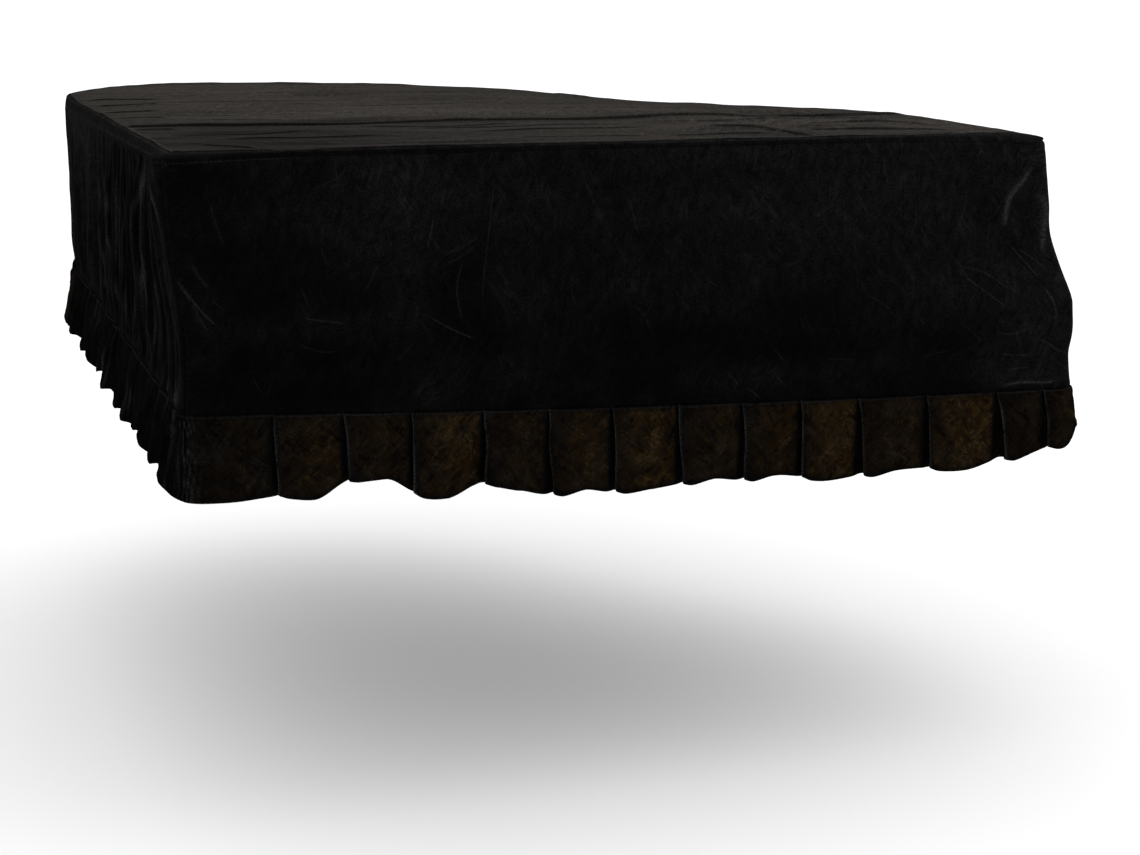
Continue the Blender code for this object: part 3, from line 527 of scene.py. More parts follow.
# The small creases of the pleats' faces, as scattered takes them, and the swells' height and cell.
FACE_BUNCHES = 4
FACE_CREASES = ((0.01, 0.11), 50.0, 50.0, 0.0024, 0.0018, (12.0, 30.0), 0.5, 3.0)
FACE_SWELLS = ((0.0024, 0.034), (0.0011, 0.014))
FACE_REACHES = (0.04, 0.08, 0.08, 0.10)  # at its fold, its tucked side, its seam and its hem
# How light the painted highlights of the faces' small creases are, and of the spine's gathers.
FACE_LIGHT, GATHER_LIGHT = 0.22, 0.5
# The share of a face past which it turns in under the next pleat, and is painted darker, as shade.
TURNED_IN, TURNED_IN_OVER, TURNED_IN_SHADE = 0.86, 0.12, 0.05
# How strongly the painted warm brown, a painted reflection of warm light, shows across a face, and
# on each face of a strip.
FACE_BROWN_LEAST, FACE_BROWN_OVER = 0.35, 0.6
FACE_BROWN = {
    "front": (0.20, 0.50, 0.40, 0.75, 0.40, 0.60, 0.90, 0.45, 0.55, 1.0, 0.45, 1.0, 0.25, 0.35),
    "back": (0.2,),
    "spine": (0.0,),
}

# ---- The cloth everywhere

SWELLS = ((0.0011, 0.060, 5), (0.0005, 0.023, 6))  # their heights, cells and seeds
# How pale a piece's pile is, from wear and painted light: everywhere, how unevenly, and the size
# and seed of the uneven places. The level everywhere is lower on the spine and its ruffle, as
# painted shade, and higher on the top, as painted sheen.
PIECE_WEAR_AND_LIGHT = {
    "front": (0.02, 0.17, 0.035, 31),
    "spine": (-0.14, 0.20, 0.030, 33),
    "back": (0.35, 0.35, 0.090, 34),
    "top": (0.28, 0.24, 0.028, 32),
    "ruffle": (0.05, 0.18, 0.030, 80),
    "gathered ruffle": (-0.20, 0.18, 0.030, 80),
}
LEAST_PALE, MOST_PALE = -0.3, 1.0


# ---- Small helpers


def column(rows, names, name):
    """One named column of a table, as an array."""
    place = names.index(name)
    return np.array([row[place] for row in rows], float)


def smooth_step(value):
    value = np.clip(value, 0.0, 1.0)
    return value * value * (3.0 - 2.0 * value)


def grown(*ends):
    """How far something has grown, by its distance from each of its ends and the reach there."""
    share = 1.0
    for distance, reach in ends:
        share = share * smooth_step(distance / reach)
    return share


def between(t, low, high, leave, arrive):
    """A smooth curve between two values, by how steeply it leaves one and arrives at the other."""
    return (
        (2 * t**3 - 3 * t**2 + 1) * low
        + (t**3 - 2 * t**2 + t) * leave
        + (3 * t**2 - 2 * t**3) * high
        + (t**3 - t**2) * arrive
    )


def smooth_between(x, known_x, known_y):
    """A smooth curve through the known points, with no overshoot past them."""
    x, known_x, known_y = (np.asarray(values, float) for values in (x, known_x, known_y))
    steps = np.diff(known_x)
    slopes = np.diff(known_y) / steps
    tangents = np.concatenate([slopes[:1], (slopes[:-1] + slopes[1:]) / 2, slopes[-1:]])
    turning = np.concatenate([[False], slopes[:-1] * slopes[1:] <= 0, [False]])
    tangents[turning] = 0.0
    place = np.clip(np.searchsorted(known_x, x, side="right") - 1, 0, len(steps) - 1)
    width = steps[place]
    t = np.clip((x - known_x[place]) / width, 0.0, 1.0)
    slopes = tangents[place] * width, tangents[place + 1] * width
    return between(t, known_y[place], known_y[place + 1], *slopes)


def catmull_rom(points, steps):
    """A smooth line through the points, without the last of them."""
    points = np.asarray(points, float)
    before, after = 2 * points[0] - points[1], 2 * points[-1] - points[-2]
    points = np.vstack([before, points, after])
    t = np.linspace(0.0, 1.0, steps, endpoint=False)[:, None]
    spans = []
    for a, b, c, d in zip(points, points[1:], points[2:], points[3:]):
        square, cube = 2 * a - 5 * b + 4 * c - d, 3 * b - a - 3 * c + d
        spans.append(0.5 * (2 * b + (c - a) * t + square * t**2 + cube * t**3))
    return np.vstack(spans)


def smooth_path(knots, points, at):
    """A smooth path through points at uneven knots. The points' first axis goes with the knots."""
    knots, points = np.asarray(knots, float), np.asarray(points, float)
    steps = np.diff(knots)[:, None]
    slopes = np.diff(points, axis=0) / steps
    inner = (steps[1:] * slopes[:-1] + steps[:-1] * slopes[1:]) / (steps[1:] + steps[:-1])
    tangents = np.vstack([slopes[:1], inner, slopes[-1:]])
    place = np.clip(np.searchsorted(knots, at, side="right") - 1, 0, len(steps) - 1)
    width = steps[place]
    t = (np.asarray(at)[:, None] - knots[place][:, None]) / width
    slopes = tangents[place] * width, tangents[place + 1] * width
    return between(t, points[place], points[place + 1], *slopes)


def ridges(u, v, rows):
    """The height that ridges add at places (u, v)."""
    total = np.zeros(np.broadcast(u, v).shape)
    for u0, v0, u1, v1, wide, high in rows:
        length = np.hypot(u1 - u0, v1 - v0)
        along = ((u - u0) * (u1 - u0) + (v - v0) * (v1 - v0)) / length
        across = ((v - v0) * (u1 - u0) - (u - u0) * (v1 - v0)) / length
        fade = RIDGE_FADE * length
        ends = grown((along, fade), (length - along, fade))
        total = total + high * ends * np.exp(-((across / wide) ** 2))
    return total


def creases_at(u, v, rows, steep=1.0):
    """What creases add at places (u, v), and their painted light there: up to 1 for the painted
    highlight on a crest, down to -1 for the painted dark line in a narrow sunken crease. The side
    of a crease towards lower v is as much narrower as steep says."""
    relief, crest = np.zeros(len(u)), np.zeros(len(u))
    for wide, high, points in rows:
        line = np.vstack([catmull_rom(points, 4), points[-1:]])
        steps = np.diff(line, axis=0)
        lengths = np.hypot(*steps.T)
        begins = np.concatenate([[0.0], np.cumsum(lengths)])
        total = begins[-1]
        low, top = line.min(0) - 3 * wide, line.max(0) + 3 * wide
        near = np.flatnonzero((u > low[0]) & (u < top[0]) & (v > low[1]) & (v < top[1]))
        best = np.zeros(len(near))
        for (u0, v0), (du, dv), length, begin in zip(line, steps, lengths, begins):
            fu, fv = u[near] - u0, v[near] - v0
            along = np.clip((fu * du + fv * dv) / length, 0.0, length)
            off_u, off_v = fu - along * du / length, fv - along * dv / length
            side = np.where(off_v < 0, steep, 1.0) if steep < 1.0 else 1.0
            share = (begin + along) / total
            taper = grown((share, LINE_TAPER), (1.0 - share, LINE_TAPER))
            profile = taper * np.exp(-(off_u**2 + off_v**2) / (wide * side) ** 2)
            best = np.maximum(best, profile)
        relief[near] += high * best
        line = min(1.0, abs(high) / BOLD) * best**LINE_SHARPNESS
        if high > 0:
            crest[near] = np.maximum(crest[near], line)
        elif wide < 0.004:
            crest[near] = np.where(crest[near] > line, crest[near], -np.maximum(-crest[near], line))
    return relief, crest


def wear_and_light_patches(u, v, rows):
    """How much paler the pile is, by soft patches of wear and painted light."""
    total = np.zeros(len(u))
    for x, y, across, down, much in rows:
        total += much * np.exp(-(((u - x) / across) ** 2) - ((v - y) / down) ** 2)
    return total


def uneven(u, v, cell, seed):
    """A smooth random field from -1 to 1, about one cell between its highs and lows."""
    size = 97
    table = np.random.default_rng(seed).uniform(-1.0, 1.0, (size, size))
    u, v = np.asarray(u) / cell + 31.0, np.asarray(v) / cell + 17.0
    i, j = np.floor(u).astype(int), np.floor(v).astype(int)
    s, t = u - i, v - j
    s, t = s * s * (3 - 2 * s), t * t * (3 - 2 * t)
    near = table[i % size, j % size] * (1 - s) + table[(i + 1) % size, j % size] * s
    far = table[i % size, (j + 1) % size] * (1 - s) + table[(i + 1) % size, (j + 1) % size] * s
    return near * (1 - t) + far * t


def piece_wear_and_light(piece, u, v, more=0):
    """How pale a piece's pile is from wear and painted light, before its patches. More changes the
    seed.
    """
    everywhere, unevenly, cell, seed = PIECE_WEAR_AND_LIGHT[piece]
    return everywhere + unevenly * uneven(u, v, cell, seed + more)


def soft_swells(u, v):
    """The low swells of cloth that has been folded away, and smaller ones between them."""
    return sum(high * uneven(u, v, cell, seed) for high, cell, seed in SWELLS)


# ---- The lid's edge


class Line:
    """A closed line seen from above, followed by the run along it."""

    def __init__(self, points):
        self.points = np.vstack([points, points[:1]])
        steps = np.linalg.norm(np.diff(self.points, axis=0), axis=1)
        self.runs = np.concatenate([[0.0], np.cumsum(steps)])
        self.length = self.runs[-1]

    def at(self, run):
        run = np.mod(run, self.length)
        return np.stack([np.interp(run, self.runs, self.points[:, axis]) for axis in (0, 1)], -1)

    def outward(self, run, reach=0.006):
        """The outward direction, level, averaged over a short reach."""
        forward = self.at(np.asarray(run) + reach) - self.at(np.asarray(run) - reach)
        forward /= np.linalg.norm(forward, axis=-1, keepdims=True)
        return np.stack([forward[..., 1], -forward[..., 0]], -1)

    def run_of(self, point):
        """The run at the corner of the line nearest to a point."""
        return self.runs[np.argmin(np.linalg.norm(self.points[:-1] - point, axis=1))]


def corner_arc(centre, first_angle):
    """Half of a front corner, an eighth of a turn about its centre."""
    angles = np.radians(np.linspace(first_angle, first_angle + 45.0, CORNER_STEPS + 1))
    return np.asarray(centre) + FRONT_CORNER * np.stack([np.cos(angles), np.sin(angles)], -1)


def lid_line():
    """The lid's edge, from the middle of its front left corner."""
    corners = np.stack([column(LID_EDGE, LID_EDGE_COLUMNS, axis) for axis in ("x", "y")], -1)
    left = (FRONT_CORNER, FRONT_CORNER)
    right = (LID_WIDTH - FRONT_CORNER, FRONT_CORNER)
    curve = catmull_rom(corners[ROUND_FROM : ROUND_TO + 1], CURVE_STEPS)
    points = np.vstack(
        [
            corner_arc(left, 225.0),
            corner_arc(right, 270.0),
            corner_arc(right, 315.0)[1:],
            curve,
            corners[ROUND_TO],
            corner_arc(left, 180.0)[:-1],
        ]
    )
    return Line(points)


LID = lid_line()
CORNER_MIDDLE = FRONT_CORNER * (1 - 0.5**0.5)
RIGHT_CORNER = LID.run_of((LID_WIDTH - CORNER_MIDDLE, CORNER_MIDDLE))


def run_of_row(row):
    """The run of a row of LID_EDGE."""
    place, x, y = row[:3]
    known = {
        "front left": 0.0,
        "front middle": RIGHT_CORNER / 2,
        "front right": RIGHT_CORNER,
        "spine middle": LID.length - y,
    }
    return known.get(place, LID.run_of((x, y)))


EDGE_RUNS = [run_of_row(row) for row in LID_EDGE]
BACK_END = EDGE_RUNS[[row[0] for row in LID_EDGE].index(PANEL_SEAM)]


def edge_value(run, name):
    """A column of LID_EDGE at any run, joined round the loop."""
    values = column(LID_EDGE, LID_EDGE_COLUMNS, name)
    runs = np.append(EDGE_RUNS, LID.length)
    return smooth_between(np.mod(run, LID.length), runs, np.append(values, values[0]))


# ---- The walls' shape


def held_at_seams(run, drop, grow_by):
    """How freely a fold stands: held at the top seam, and partly again at the ruffle's."""
    ruffle_seam = edge_value(run, "ruffle_seam")
    freed = smooth_step((drop - FOLD_START) / grow_by)
    near_ruffle = smooth_step(1.0 - (ruffle_seam - drop) / SEAM_HOLD_HEIGHT)
    return freed * (1.0 - SEAM_HOLD * near_ruffle)


def corner_stand(run):
    """How far the cloth stands off the lid at its front corners, at the top seam."""
    stand = np.zeros(np.shape(run))
    for (_, high), corner in zip(CORNERS, (0.0, RIGHT_CORNER)):
        away = np.abs(run - corner)
        away = np.minimum(away, LID.length - away)
        stand = stand + high * np.exp(-((away / CORNER_SPREAD) ** 2))
    return stand


def drifting(run, waves):
    """How far along its wave a row of folds has drifted at a run."""
    return sum(far * np.sin(run * fast) for far, fast in waves)


def fold_ends(run, start, end, reaches):
    """How far a panel's folds have grown from its two ends, by one of the tables of ends."""
    past, at_start, at_end = reaches
    return grown((run - start - past, at_start), (end - run, at_end))


def gathers(run, drop):
    """The spine panel's gathers: none at its ends, and growing below the seam."""
    ends = fold_ends(run, BACK_END, LID.length, GATHER_ENDS)
    grow = held_at_seams(run, drop, GATHER_GROWTH)
    drift = drifting(run, GATHER_DRIFT)
    bold = 1 + GATHER_BOLDNESS * np.sin(run * BOLDNESS_TURN + BOLDNESS_START)
    large = GATHER_DEPTH * bold * np.cos(2 * np.pi * run / GATHER_PITCH + drift)
    drift = SMALL_GATHER_DRIFT * drift
    small = SMALL_GATHER_DEPTH * np.cos(2 * np.pi * run / SMALL_GATHER_PITCH + drift)
    left = 1.0 - SMALL_GATHER_LOSS * smooth_step(drop / edge_value(run, "ruffle_seam"))
    return ends * grow * (large + left * small)


# The fine gathers between the solids' ones: how many to a metre, how far each wanders as it
# falls, how high it stands and its seed.
FINE_GATHERS = (
    (17.0, 0.030, 0.0040, 20),
    (26.0, 0.022, 0.0046, 21),
    (41.0, 0.013, 0.0030, 22),
    (66.0, 0.008, 0.0014, 23),
)
# They wander by a share of that over a cell, with a step in the seed. They come up in spells, and
# their crests have painted highlights.
GATHER_WANDERS = ((1.0, 0.13, 0), (0.4, 0.045, 5))
SPELL_MEAN, SPELL_SWING, SPELL_CELL, SPELL_SEED = 0.55, 0.45, 0.07, 9
GATHER_SUNK, CREST_SHARPNESS, CREST_LIGHT, CREST_LIGHT_BY_HEIGHT = 0.4, 5, 0.40, 140.0


def fine_gathers(run, drop):
    """The spine panel's small gathers, which start at the seam, and the painted highlights on their
    crests.
    """
    ends = fold_ends(run, BACK_END, LID.length, FINE_GATHER_ENDS)
    relief, crest = np.zeros(np.shape(run)), np.zeros(np.shape(run))
    for per_metre, wander, high, seed in FINE_GATHERS:
        moved = run
        for share, cell, step in GATHER_WANDERS:
            moved = moved + share * wander * uneven(run, drop, cell, seed + step)
        wave = 0.5 + 0.5 * np.cos(2 * np.pi * moved * per_metre)
        spell = SPELL_MEAN + SPELL_SWING * uneven(run, drop, SPELL_CELL, seed + SPELL_SEED)
        peak = spell * wave**2
        relief += high * (peak - GATHER_SUNK)
        light = CREST_LIGHT + CREST_LIGHT_BY_HEIGHT * high
        crest = np.maximum(crest, peak**CREST_SHARPNESS * light)
    return ends * relief, np.clip(ends * crest, 0.0, 1.0)


def soft_folds(run, drop):
    """The back panel's few folds, which grow towards the ruffle."""
    ends = fold_ends(run, RIGHT_CORNER, BACK_END, SOFT_FOLD_ENDS)
    grow = held_at_seams(run, drop, SOFT_FOLD_GROWTH)
    wave = np.cos(2 * np.pi * run / SOFT_FOLD_PITCH + drifting(run, SOFT_FOLD_DRIFT))
    return ends * grow * SOFT_FOLD_DEPTH * wave


def front_grown(run, drop, reach):
    """How far the front's creases have grown from its corners and its top seam."""
    return grown((run, reach), (RIGHT_CORNER - run, reach)) * smooth_step(drop / reach) ** 2


def front_hang(x, drop):
    """How far the front stands forward at x and drop."""
    drops = column(FRONT_HANG, FRONT_HANG_COLUMNS, "drop")
    over_arm = smooth_between(drop, drops, column(FRONT_HANG, FRONT_HANG_COLUMNS, "over_arm"))
    slack = smooth_between(drop, drops, column(FRONT_HANG, FRONT_HANG_COLUMNS, "between_arms"))
    from_end = np.minimum(x, LID_WIDTH - x)
    share = smooth_step((from_end - ARM_WIDTH) / ARM_BLEND)
    return over_arm + (slack - over_arm) * share


def wall_line(run, drop, folded=True):
    """The cloth's outer face, by run and drop, as x and y from the lid's front left corner."""
    run, drop = np.broadcast_arrays(np.asarray(run, float), np.asarray(drop, float))
    edge = LID.at(run)
    out = EDGE_STAND * smooth_step(drop / STAND_DROP) + edge_value(run, "lean") * drop
    risen = smooth_step((drop + EDGE_ROUND) / CORNER_RISE)
    fallen = (1.0 - CORNER_KEPT) * smooth_step((drop - STAND_DROP) / CORNER_FALL)
    out = out + corner_stand(run) * risen * (1.0 - fallen)
    if folded:
        out = out + gathers(run, drop) + soft_folds(run, drop)
        broad = ridges(edge[..., 0], drop, BROAD_FRONT_FOLDS)
        out = out + front_grown(run, drop, FRONT_GROWN) * broad
    drawn = 1.0 - smooth_step((edge[..., 1] - FRONT_CORNER) / ARM_REACH)
    forward = front_hang(edge[..., 0], drop) * drawn
    place = edge + LID.outward(run) * out[..., None]
    place[..., 1] -= forward
    return place


def placed(place, height):
    """Points in the part's own frame, from x and y at the lid's front left corner and a height."""
    height = np.broadcast_to(height, place.shape[:-1])
    return np.stack([place[..., 0] - LID_WIDTH / 2, place[..., 1] - LID_LENGTH / 2, height], -1)


# ---- Sheets


def cloth_piece(name, outer, inner, faces, rim, uv, marks, materials, which=None):
    """A closed sheet from its two faces, which share a numbering, and the loop of its edge."""
    # Only the points that a face uses are kept.
    faces = np.asarray(faces)
    used, place = np.unique(faces, return_inverse=True)
    faces, rim = place.reshape(faces.shape), np.searchsorted(used, rim)
    outer, inner, uv = outer[used], inner[used], uv[used]
    count = len(outer)
    turned = faces[:, ::-1] + count
    ahead = np.roll(rim, -1)
    edge = np.stack([ahead, rim, rim + count, ahead + count], -1)
    size = faces.shape[1]
    sides = [faces, turned, edge]
    loops = np.concatenate([side.ravel() for side in sides])
    totals = np.concatenate([[size] * (2 * len(faces)), [4] * len(edge)])
    data = bpy.data.meshes.new(name)
    data.vertices.add(2 * count)
    data.vertices.foreach_set("co", np.vstack([outer, inner]).ravel())
    data.loops.add(len(loops))
    data.loops.foreach_set("vertex_index", loops)
    data.polygons.add(len(totals))
    data.polygons.foreach_set("loop_start", np.concatenate([[0], np.cumsum(totals)[:-1]]))
    data.polygons.foreach_set("use_smooth", np.ones(len(totals), bool))
    layer = data.uv_layers.new(name="cut")
    both = np.vstack([uv, uv])
    layer.data.foreach_set("uv", both[loops].ravel())
    for word, values in marks.items():
        store = data.attributes.new(word, "FLOAT", "POINT")
        store.data.foreach_set("value", np.tile(values[used], 2).astype(np.float32))
    for material in materials:
        data.materials.append(material)
    if which is not None:
        kinds = np.concatenate([which, which, np.full(len(edge), which.max())])
        data.polygons.foreach_set("material_index", kinds.astype(np.int32))
    data.update(calc_edges=True)
    data.validate()
    piece = bpy.data.objects.new(name, data)
    bpy.context.scene.collection.objects.link(piece)
    return piece


def grid_faces(rows, columns):
    """The quads of a grid, rows down and columns along, and the loop round it."""
    number = np.arange(rows * columns).reshape(rows, columns)
    corners = (number[:-1, :-1], number[1:, :-1], number[1:, 1:], number[:-1, 1:])
    quads = np.stack([corner.ravel() for corner in corners], -1)
    sides = [number[:-1, 0], number[-1, :-1], number[:0:-1, -1], number[0, :0:-1]]
    return quads, np.concatenate(sides)


def seam_roll(distance, deep):
    """How far a sheet's edge rolls in, at a distance from its seam."""
    return deep * np.clip(1.0 - distance / ROLL_WIDTH, 0.0, 1.0) ** 2


def thinned(points, closest):
    """The points that are left when only one is kept in each small square."""
    keys = np.floor(points / closest).astype(np.int64)
    kept = np.unique(keys, axis=0, return_index=True)[1]
    return points[np.sort(kept)]


def crease_points(rows, steep):
    """Points on and beside each crease, close enough together to shape it."""
    points = []
    for wide, high, corners in rows:
        line = Line(np.vstack([catmull_rom(corners, 4), corners[-1:]]))
        total = line.runs[-2]
        runs = np.linspace(0.0, total, 2 + int(total / min(ALONG_CREASE * wide, FARTHEST)))
        inner = np.clip(runs, 1e-4, total - 1e-4)
        sideways = line.outward(inner, 5e-5)
        for offset in ACROSS_SMALL_CREASE if abs(high) < SMALL_CREASE else ACROSS_CREASE:
            beside = offset * wide * sideways
            points.append(line.at(inner) + beside * np.where(beside[:, 1:] < 0, steep, 1.0))
    return np.vstack(points)


def with_creases(grid, rows, cell, steep=1.0):
    """A coarse grid's points, closer together wherever there is a crease."""
    if not rows:
        return grid
    fine = thinned(crease_points(rows, steep), CLOSEST)
    taken = set(map(tuple, np.floor(fine / cell).astype(int)))
    free = [key not in taken for key in map(tuple, np.floor(grid / cell).astype(int))]
    return np.vstack([fine, grid[free]])


def triangles_within(border, inside):
    """Triangles between a border's points and the points inside it."""
    flat = [Vector(point) for point in np.vstack([border, inside])]
    count = len(border)
    edges = [(i, (i + 1) % count) for i in range(count)]
    made, origin = delaunay_2d_cdt(flat, edges, [], 1, 1e-7)[2:4]
    number = np.array([first[0] for first in origin])
    return number[np.array(made)]


def wall_sheet(name, start, end, cells, detail, creases):
    """A wall from the top's seam down to the ruffle's, with its creases."""

    def upper(run):
        return edge_value(run, "top_seam") + GAP / 2 - UNDER_TOP_REACH

    def lower(run):
        return edge_value(run, "ruffle_seam") - GAP / 2 + UNDER_RUFFLE_REACH

    cell, cell_down = cells
    runs = np.linspace(start, end, 1 + round((end - start) / min(cell, BORDER_CELL)))
    tall = float((lower(runs) - upper(runs)).max())
    shares = np.linspace(0.0, 1.0, 1 + round(tall / min(cell_down, BORDER_CELL_DOWN)))[1:-1]
    left_end = upper(start) + shares * (lower(start) - upper(start))
    right_end = lower(end) + shares * (upper(end) - lower(end))
    border = np.vstack(
        [
            np.stack([runs[::-1], upper(runs[::-1])], -1),
            np.stack([np.full(len(shares), start), left_end], -1),
            np.stack([runs, lower(runs)], -1),
            np.stack([np.full(len(shares), end), right_end], -1),
        ]
    )
    rows = [upper(runs) + step for step in TOP_EDGE_ROWS]
    rows += [lower(runs) - step for step in LOW_EDGE_ROWS]
    edges = np.vstack([np.stack([runs[1:-1], row[1:-1]], -1) for row in rows])
    grid_run = np.arange(start + 0.6 * cell, end - 0.5 * cell, cell)
    grid_drop = np.arange(0.0, float(lower(runs).max()), cell_down)
    grid = np.stack(np.meshgrid(grid_run, grid_drop), -1).reshape(-1, 2)
    inside = with_creases(grid, creases, cell)
    run, drop = inside.T
    clear = (run > start + 0.4 * cell) & (run < end - 0.4 * cell)
    clear &= drop > upper(run) + TOP_EDGE_ROWS[-1] + EDGE_ROWS_APART
    clear &= drop < lower(run) - LOW_EDGE_ROWS[-1] - EDGE_ROWS_APART
    inside = np.vstack([edges, inside[clear]])
    triangles = triangles_within(border * (1, -1), inside * (1, -1))

    run, drop = np.vstack([border, inside]).T
    down = drop - upper(run) - UNDER_TOP_REACH
    up = lower(run) - UNDER_RUFFLE_REACH - drop
    calm = grown((down, SEAM_CALM), (up - RUFFLE_CALM, SEAM_CALM))
    relief, crest, worn = detail(run, drop)
    tucked = UNDER_TOP * smooth_step((UNDER_TOP_START - down) / UNDER_TOP_TURN)
    tucked = tucked + UNDER_RUFFLE * smooth_step((UNDER_RUFFLE_START - up) / UNDER_RUFFLE_TURN)
    tucked = tucked + BEHIND_RUFFLE * smooth_step(-up / BEHIND_RUFFLE_TURN)
    out = LID.outward(run)
    outer = wall_line(run, drop) + out * (relief * calm - tucked)[:, None]
    marks = {"crest": crest * calm, "worn": np.clip(worn, LEAST_PALE, MOST_PALE)}
    faces = placed(outer, -drop), placed(outer - CLOTH * out, -drop), triangles
    uv = np.stack([run, -drop], -1)
    return cloth_piece(name, *faces, np.arange(len(border)), uv, marks, (WALL_VELVET,))


def run_at(x):
    """The run along the front at an x."""
    front = LID.runs <= RIGHT_CORNER
    return np.interp(x, LID.points[front, 0], LID.runs[front])


def beside_front(rows):
    """Creases of the front, with their x turned into runs."""
    return [(wide, high, [(run_at(x), drop) for x, drop in at]) for wide, high, at in rows]


FRONT_PATCHES = 1.05
# The front is painted paler just under its top seam, and the spine towards its top, as painted
# light.
TOP_OF_FRONT_LIGHT, TOP_OF_FRONT, TOP_OF_FRONT_FADE = 0.35, 0.004, 0.014
TOP_OF_SPINE_LIGHT = ((0.08, 0.35), (0.25, 0.15))  # how far down, and how much paler
SPINE_WEAR_LONG, SPINE_SWELL = 0.25, 0.5
LOW_LIGHT, SMALL_LIGHT, BACK_LIGHT = 0.55, 0.38, 0.6


def front_detail(run, drop):
    """The front's creases over its solid's folds, their painted highlights, and its wear and
    painted light.
    """
    x = LID.at(run)[..., 0]
    free = front_grown(run, drop, FRONT_CREASES_GROWN)
    main, crest = creases_at(x, drop, FRONT_CREASES)
    small, light = creases_at(x, drop, SMALL_FRONT_CREASES)
    worn = FRONT_PATCHES * wear_and_light_patches(x, drop, FRONT_WEAR_AND_LIGHT) + piece_wear_and_light("front", x, drop)
    # Painted light just under the top seam.
    near_top = smooth_step(1.0 - (drop - TOP_OF_FRONT) / TOP_OF_FRONT_FADE)
    worn = worn + TOP_OF_FRONT_LIGHT * near_top
    # A low crease's painted highlight is faint, and a bold one's full.
    crest = crest * np.where(crest > 0, LOW_LIGHT + (1.0 - LOW_LIGHT) * crest**2, 1.0)
    light = SMALL_LIGHT * light
    crest = np.where(np.abs(crest) > np.abs(light), crest, light)
    return free * (main + small) + soft_swells(x, drop), free * crest, worn


def spine_detail(run, drop):
    """The same for the spine, whose fine gathers take the place of creases."""
    relief, crest = fine_gathers(run, drop)
    worn = piece_wear_and_light("spine", run, SPINE_WEAR_LONG * drop)
    # Painted light, paler towards the top of the spine.
    for deep, much in TOP_OF_SPINE_LIGHT:
        worn += much * smooth_step(1.0 - drop / deep)
    worn += wear_and_light_patches(LID.at(run)[..., 1], drop, SPINE_WEAR_AND_LIGHT)
    return relief + SPINE_SWELL * soft_swells(run, drop), crest, worn


def back_detail(run, drop):
    """The same for the back."""
    small, crest = creases_at(run, drop, SMALL_BACK_CREASES)
    return small + soft_swells(run, drop), BACK_LIGHT * crest, piece_wear_and_light("back", run, drop)


# ---- The top


# The top's swells and its uneven wear are drawn out across the piano.
TOP_LIGHT, TOP_SWELL, TOP_SWELL_LONG, TOP_SWELL_START, TOP_WEAR_LONG = 0.15, 1.6, 0.35, 0.9, 0.16
# Painted shade at the near foot of the top's creases: width and height as shares of each crease's,
# how far towards the front it lies, how dark it is, and at most how much of it there is.
FOOT_WIDE, FOOT_HIGH, FOOT_REACH, FOOT_SHADE, FOOT_MOST = 0.5, 0.8, 0.0035, 1.30, 0.45


def top_detail(x, y):
    """The top's creases over its solid's folds, their painted highlights, and its wear and painted
    sheen.
    """
    main, crest = creases_at(x, y, TOP_CREASES, TOP_STEEPNESS)
    small, light = creases_at(x, y, SMALL_TOP_CREASES, TOP_STEEPNESS)
    crest = TOP_LIGHT * np.where(np.abs(crest) > np.abs(light), crest, light)
    swells = TOP_SWELL * soft_swells(TOP_SWELL_LONG * x + TOP_SWELL_START, y)
    worn = wear_and_light_patches(x, y, TOP_PAINTED_SHEEN) + piece_wear_and_light("top", TOP_WEAR_LONG * x, y)
    # The near side of each crease, and the cloth at its foot, is painted darker, as shade.
    foot = [(FOOT_WIDE * wide, FOOT_HIGH * high, at) for wide, high, at in TOP_CREASES]
    near = creases_at(x, y + FOOT_REACH, foot)[1]
    return main + small + swells, crest, worn - FOOT_SHADE * np.minimum(near, FOOT_MOST)


def edge_distance(points):
    """How far each point lies inside the lid's edge, negative when outside."""
    edge = LID.points[:-1]
    parts = []
    for part in np.array_split(points, 1 + len(points) // 4000):
        away = np.linalg.norm(part[:, None] - edge[None], axis=2)
        nearest = away.argmin(axis=1)
        outward = LID.outward(LID.runs[nearest])
        side = ((part - edge[nearest]) * outward).sum(axis=1)
        parts.append(np.where(side < 0, away.min(axis=1), -away.min(axis=1)))
    return np.concatenate(parts)


def top_rim(runs, steps):
    """The rings of the top's rim, from the flat cloth round the lid's edge to the seam: the first
    ring seen from above, their points, the way the cloth faces there, and each ring's turn."""
    edge, out = LID.at(runs), LID.outward(runs)
    drop = edge_value(runs, "top_seam") - GAP / 2
    inset = edge - TOP_INSET * out
    shoulder = edge - RIM_SHOULDER * EDGE_ROUND * out
    shoulder[:, 1] -= front_hang(edge[:, 0], 0.0)
    bend = wall_line(runs, np.full(len(runs), EDGE_ROUND), folded=False)
    seam = wall_line(runs, drop, folded=False)
    relief = top_detail(*inset.T)[0] + RIM_EASE * (1.0 + uneven(runs, 0.0, RIM_EASE_CELL, 36))
    relief = relief + RIM_LUMP * uneven(runs, 0.0, RIM_LUMP_CELL, 37)
    height = CLOTH + ridges(*inset.T, BROAD_TOP_FOLDS)
    path = [
        placed(inset, height + RIM_CREASED * relief),
        placed(shoulder, RIM_SHOULDER_HEIGHT * height),
        placed(bend, -EDGE_ROUND + CLOTH),
        placed(seam, -drop),
    ]
    rings = smooth_path(RIM_KNOTS, np.reshape(path, (len(path), -1)), steps)
    rings = rings.reshape(len(steps), len(runs), 3)
    turned = smooth_path(RIM_KNOTS, np.array(RIM_TURNED)[:, None], steps)
    level = np.pad(out, ((0, 0), (0, 1)))
    rings = rings - level * seam_roll(RIM_KNOTS[-1] - steps, TOP_ROLL)[:, None, None]
    ways = level * turned[..., None] + np.array(UP) * (1.0 - turned)[..., None]
    ways /= np.linalg.norm(ways, axis=-1, keepdims=True)
    return inset, rings, ways, turned[:, 0]


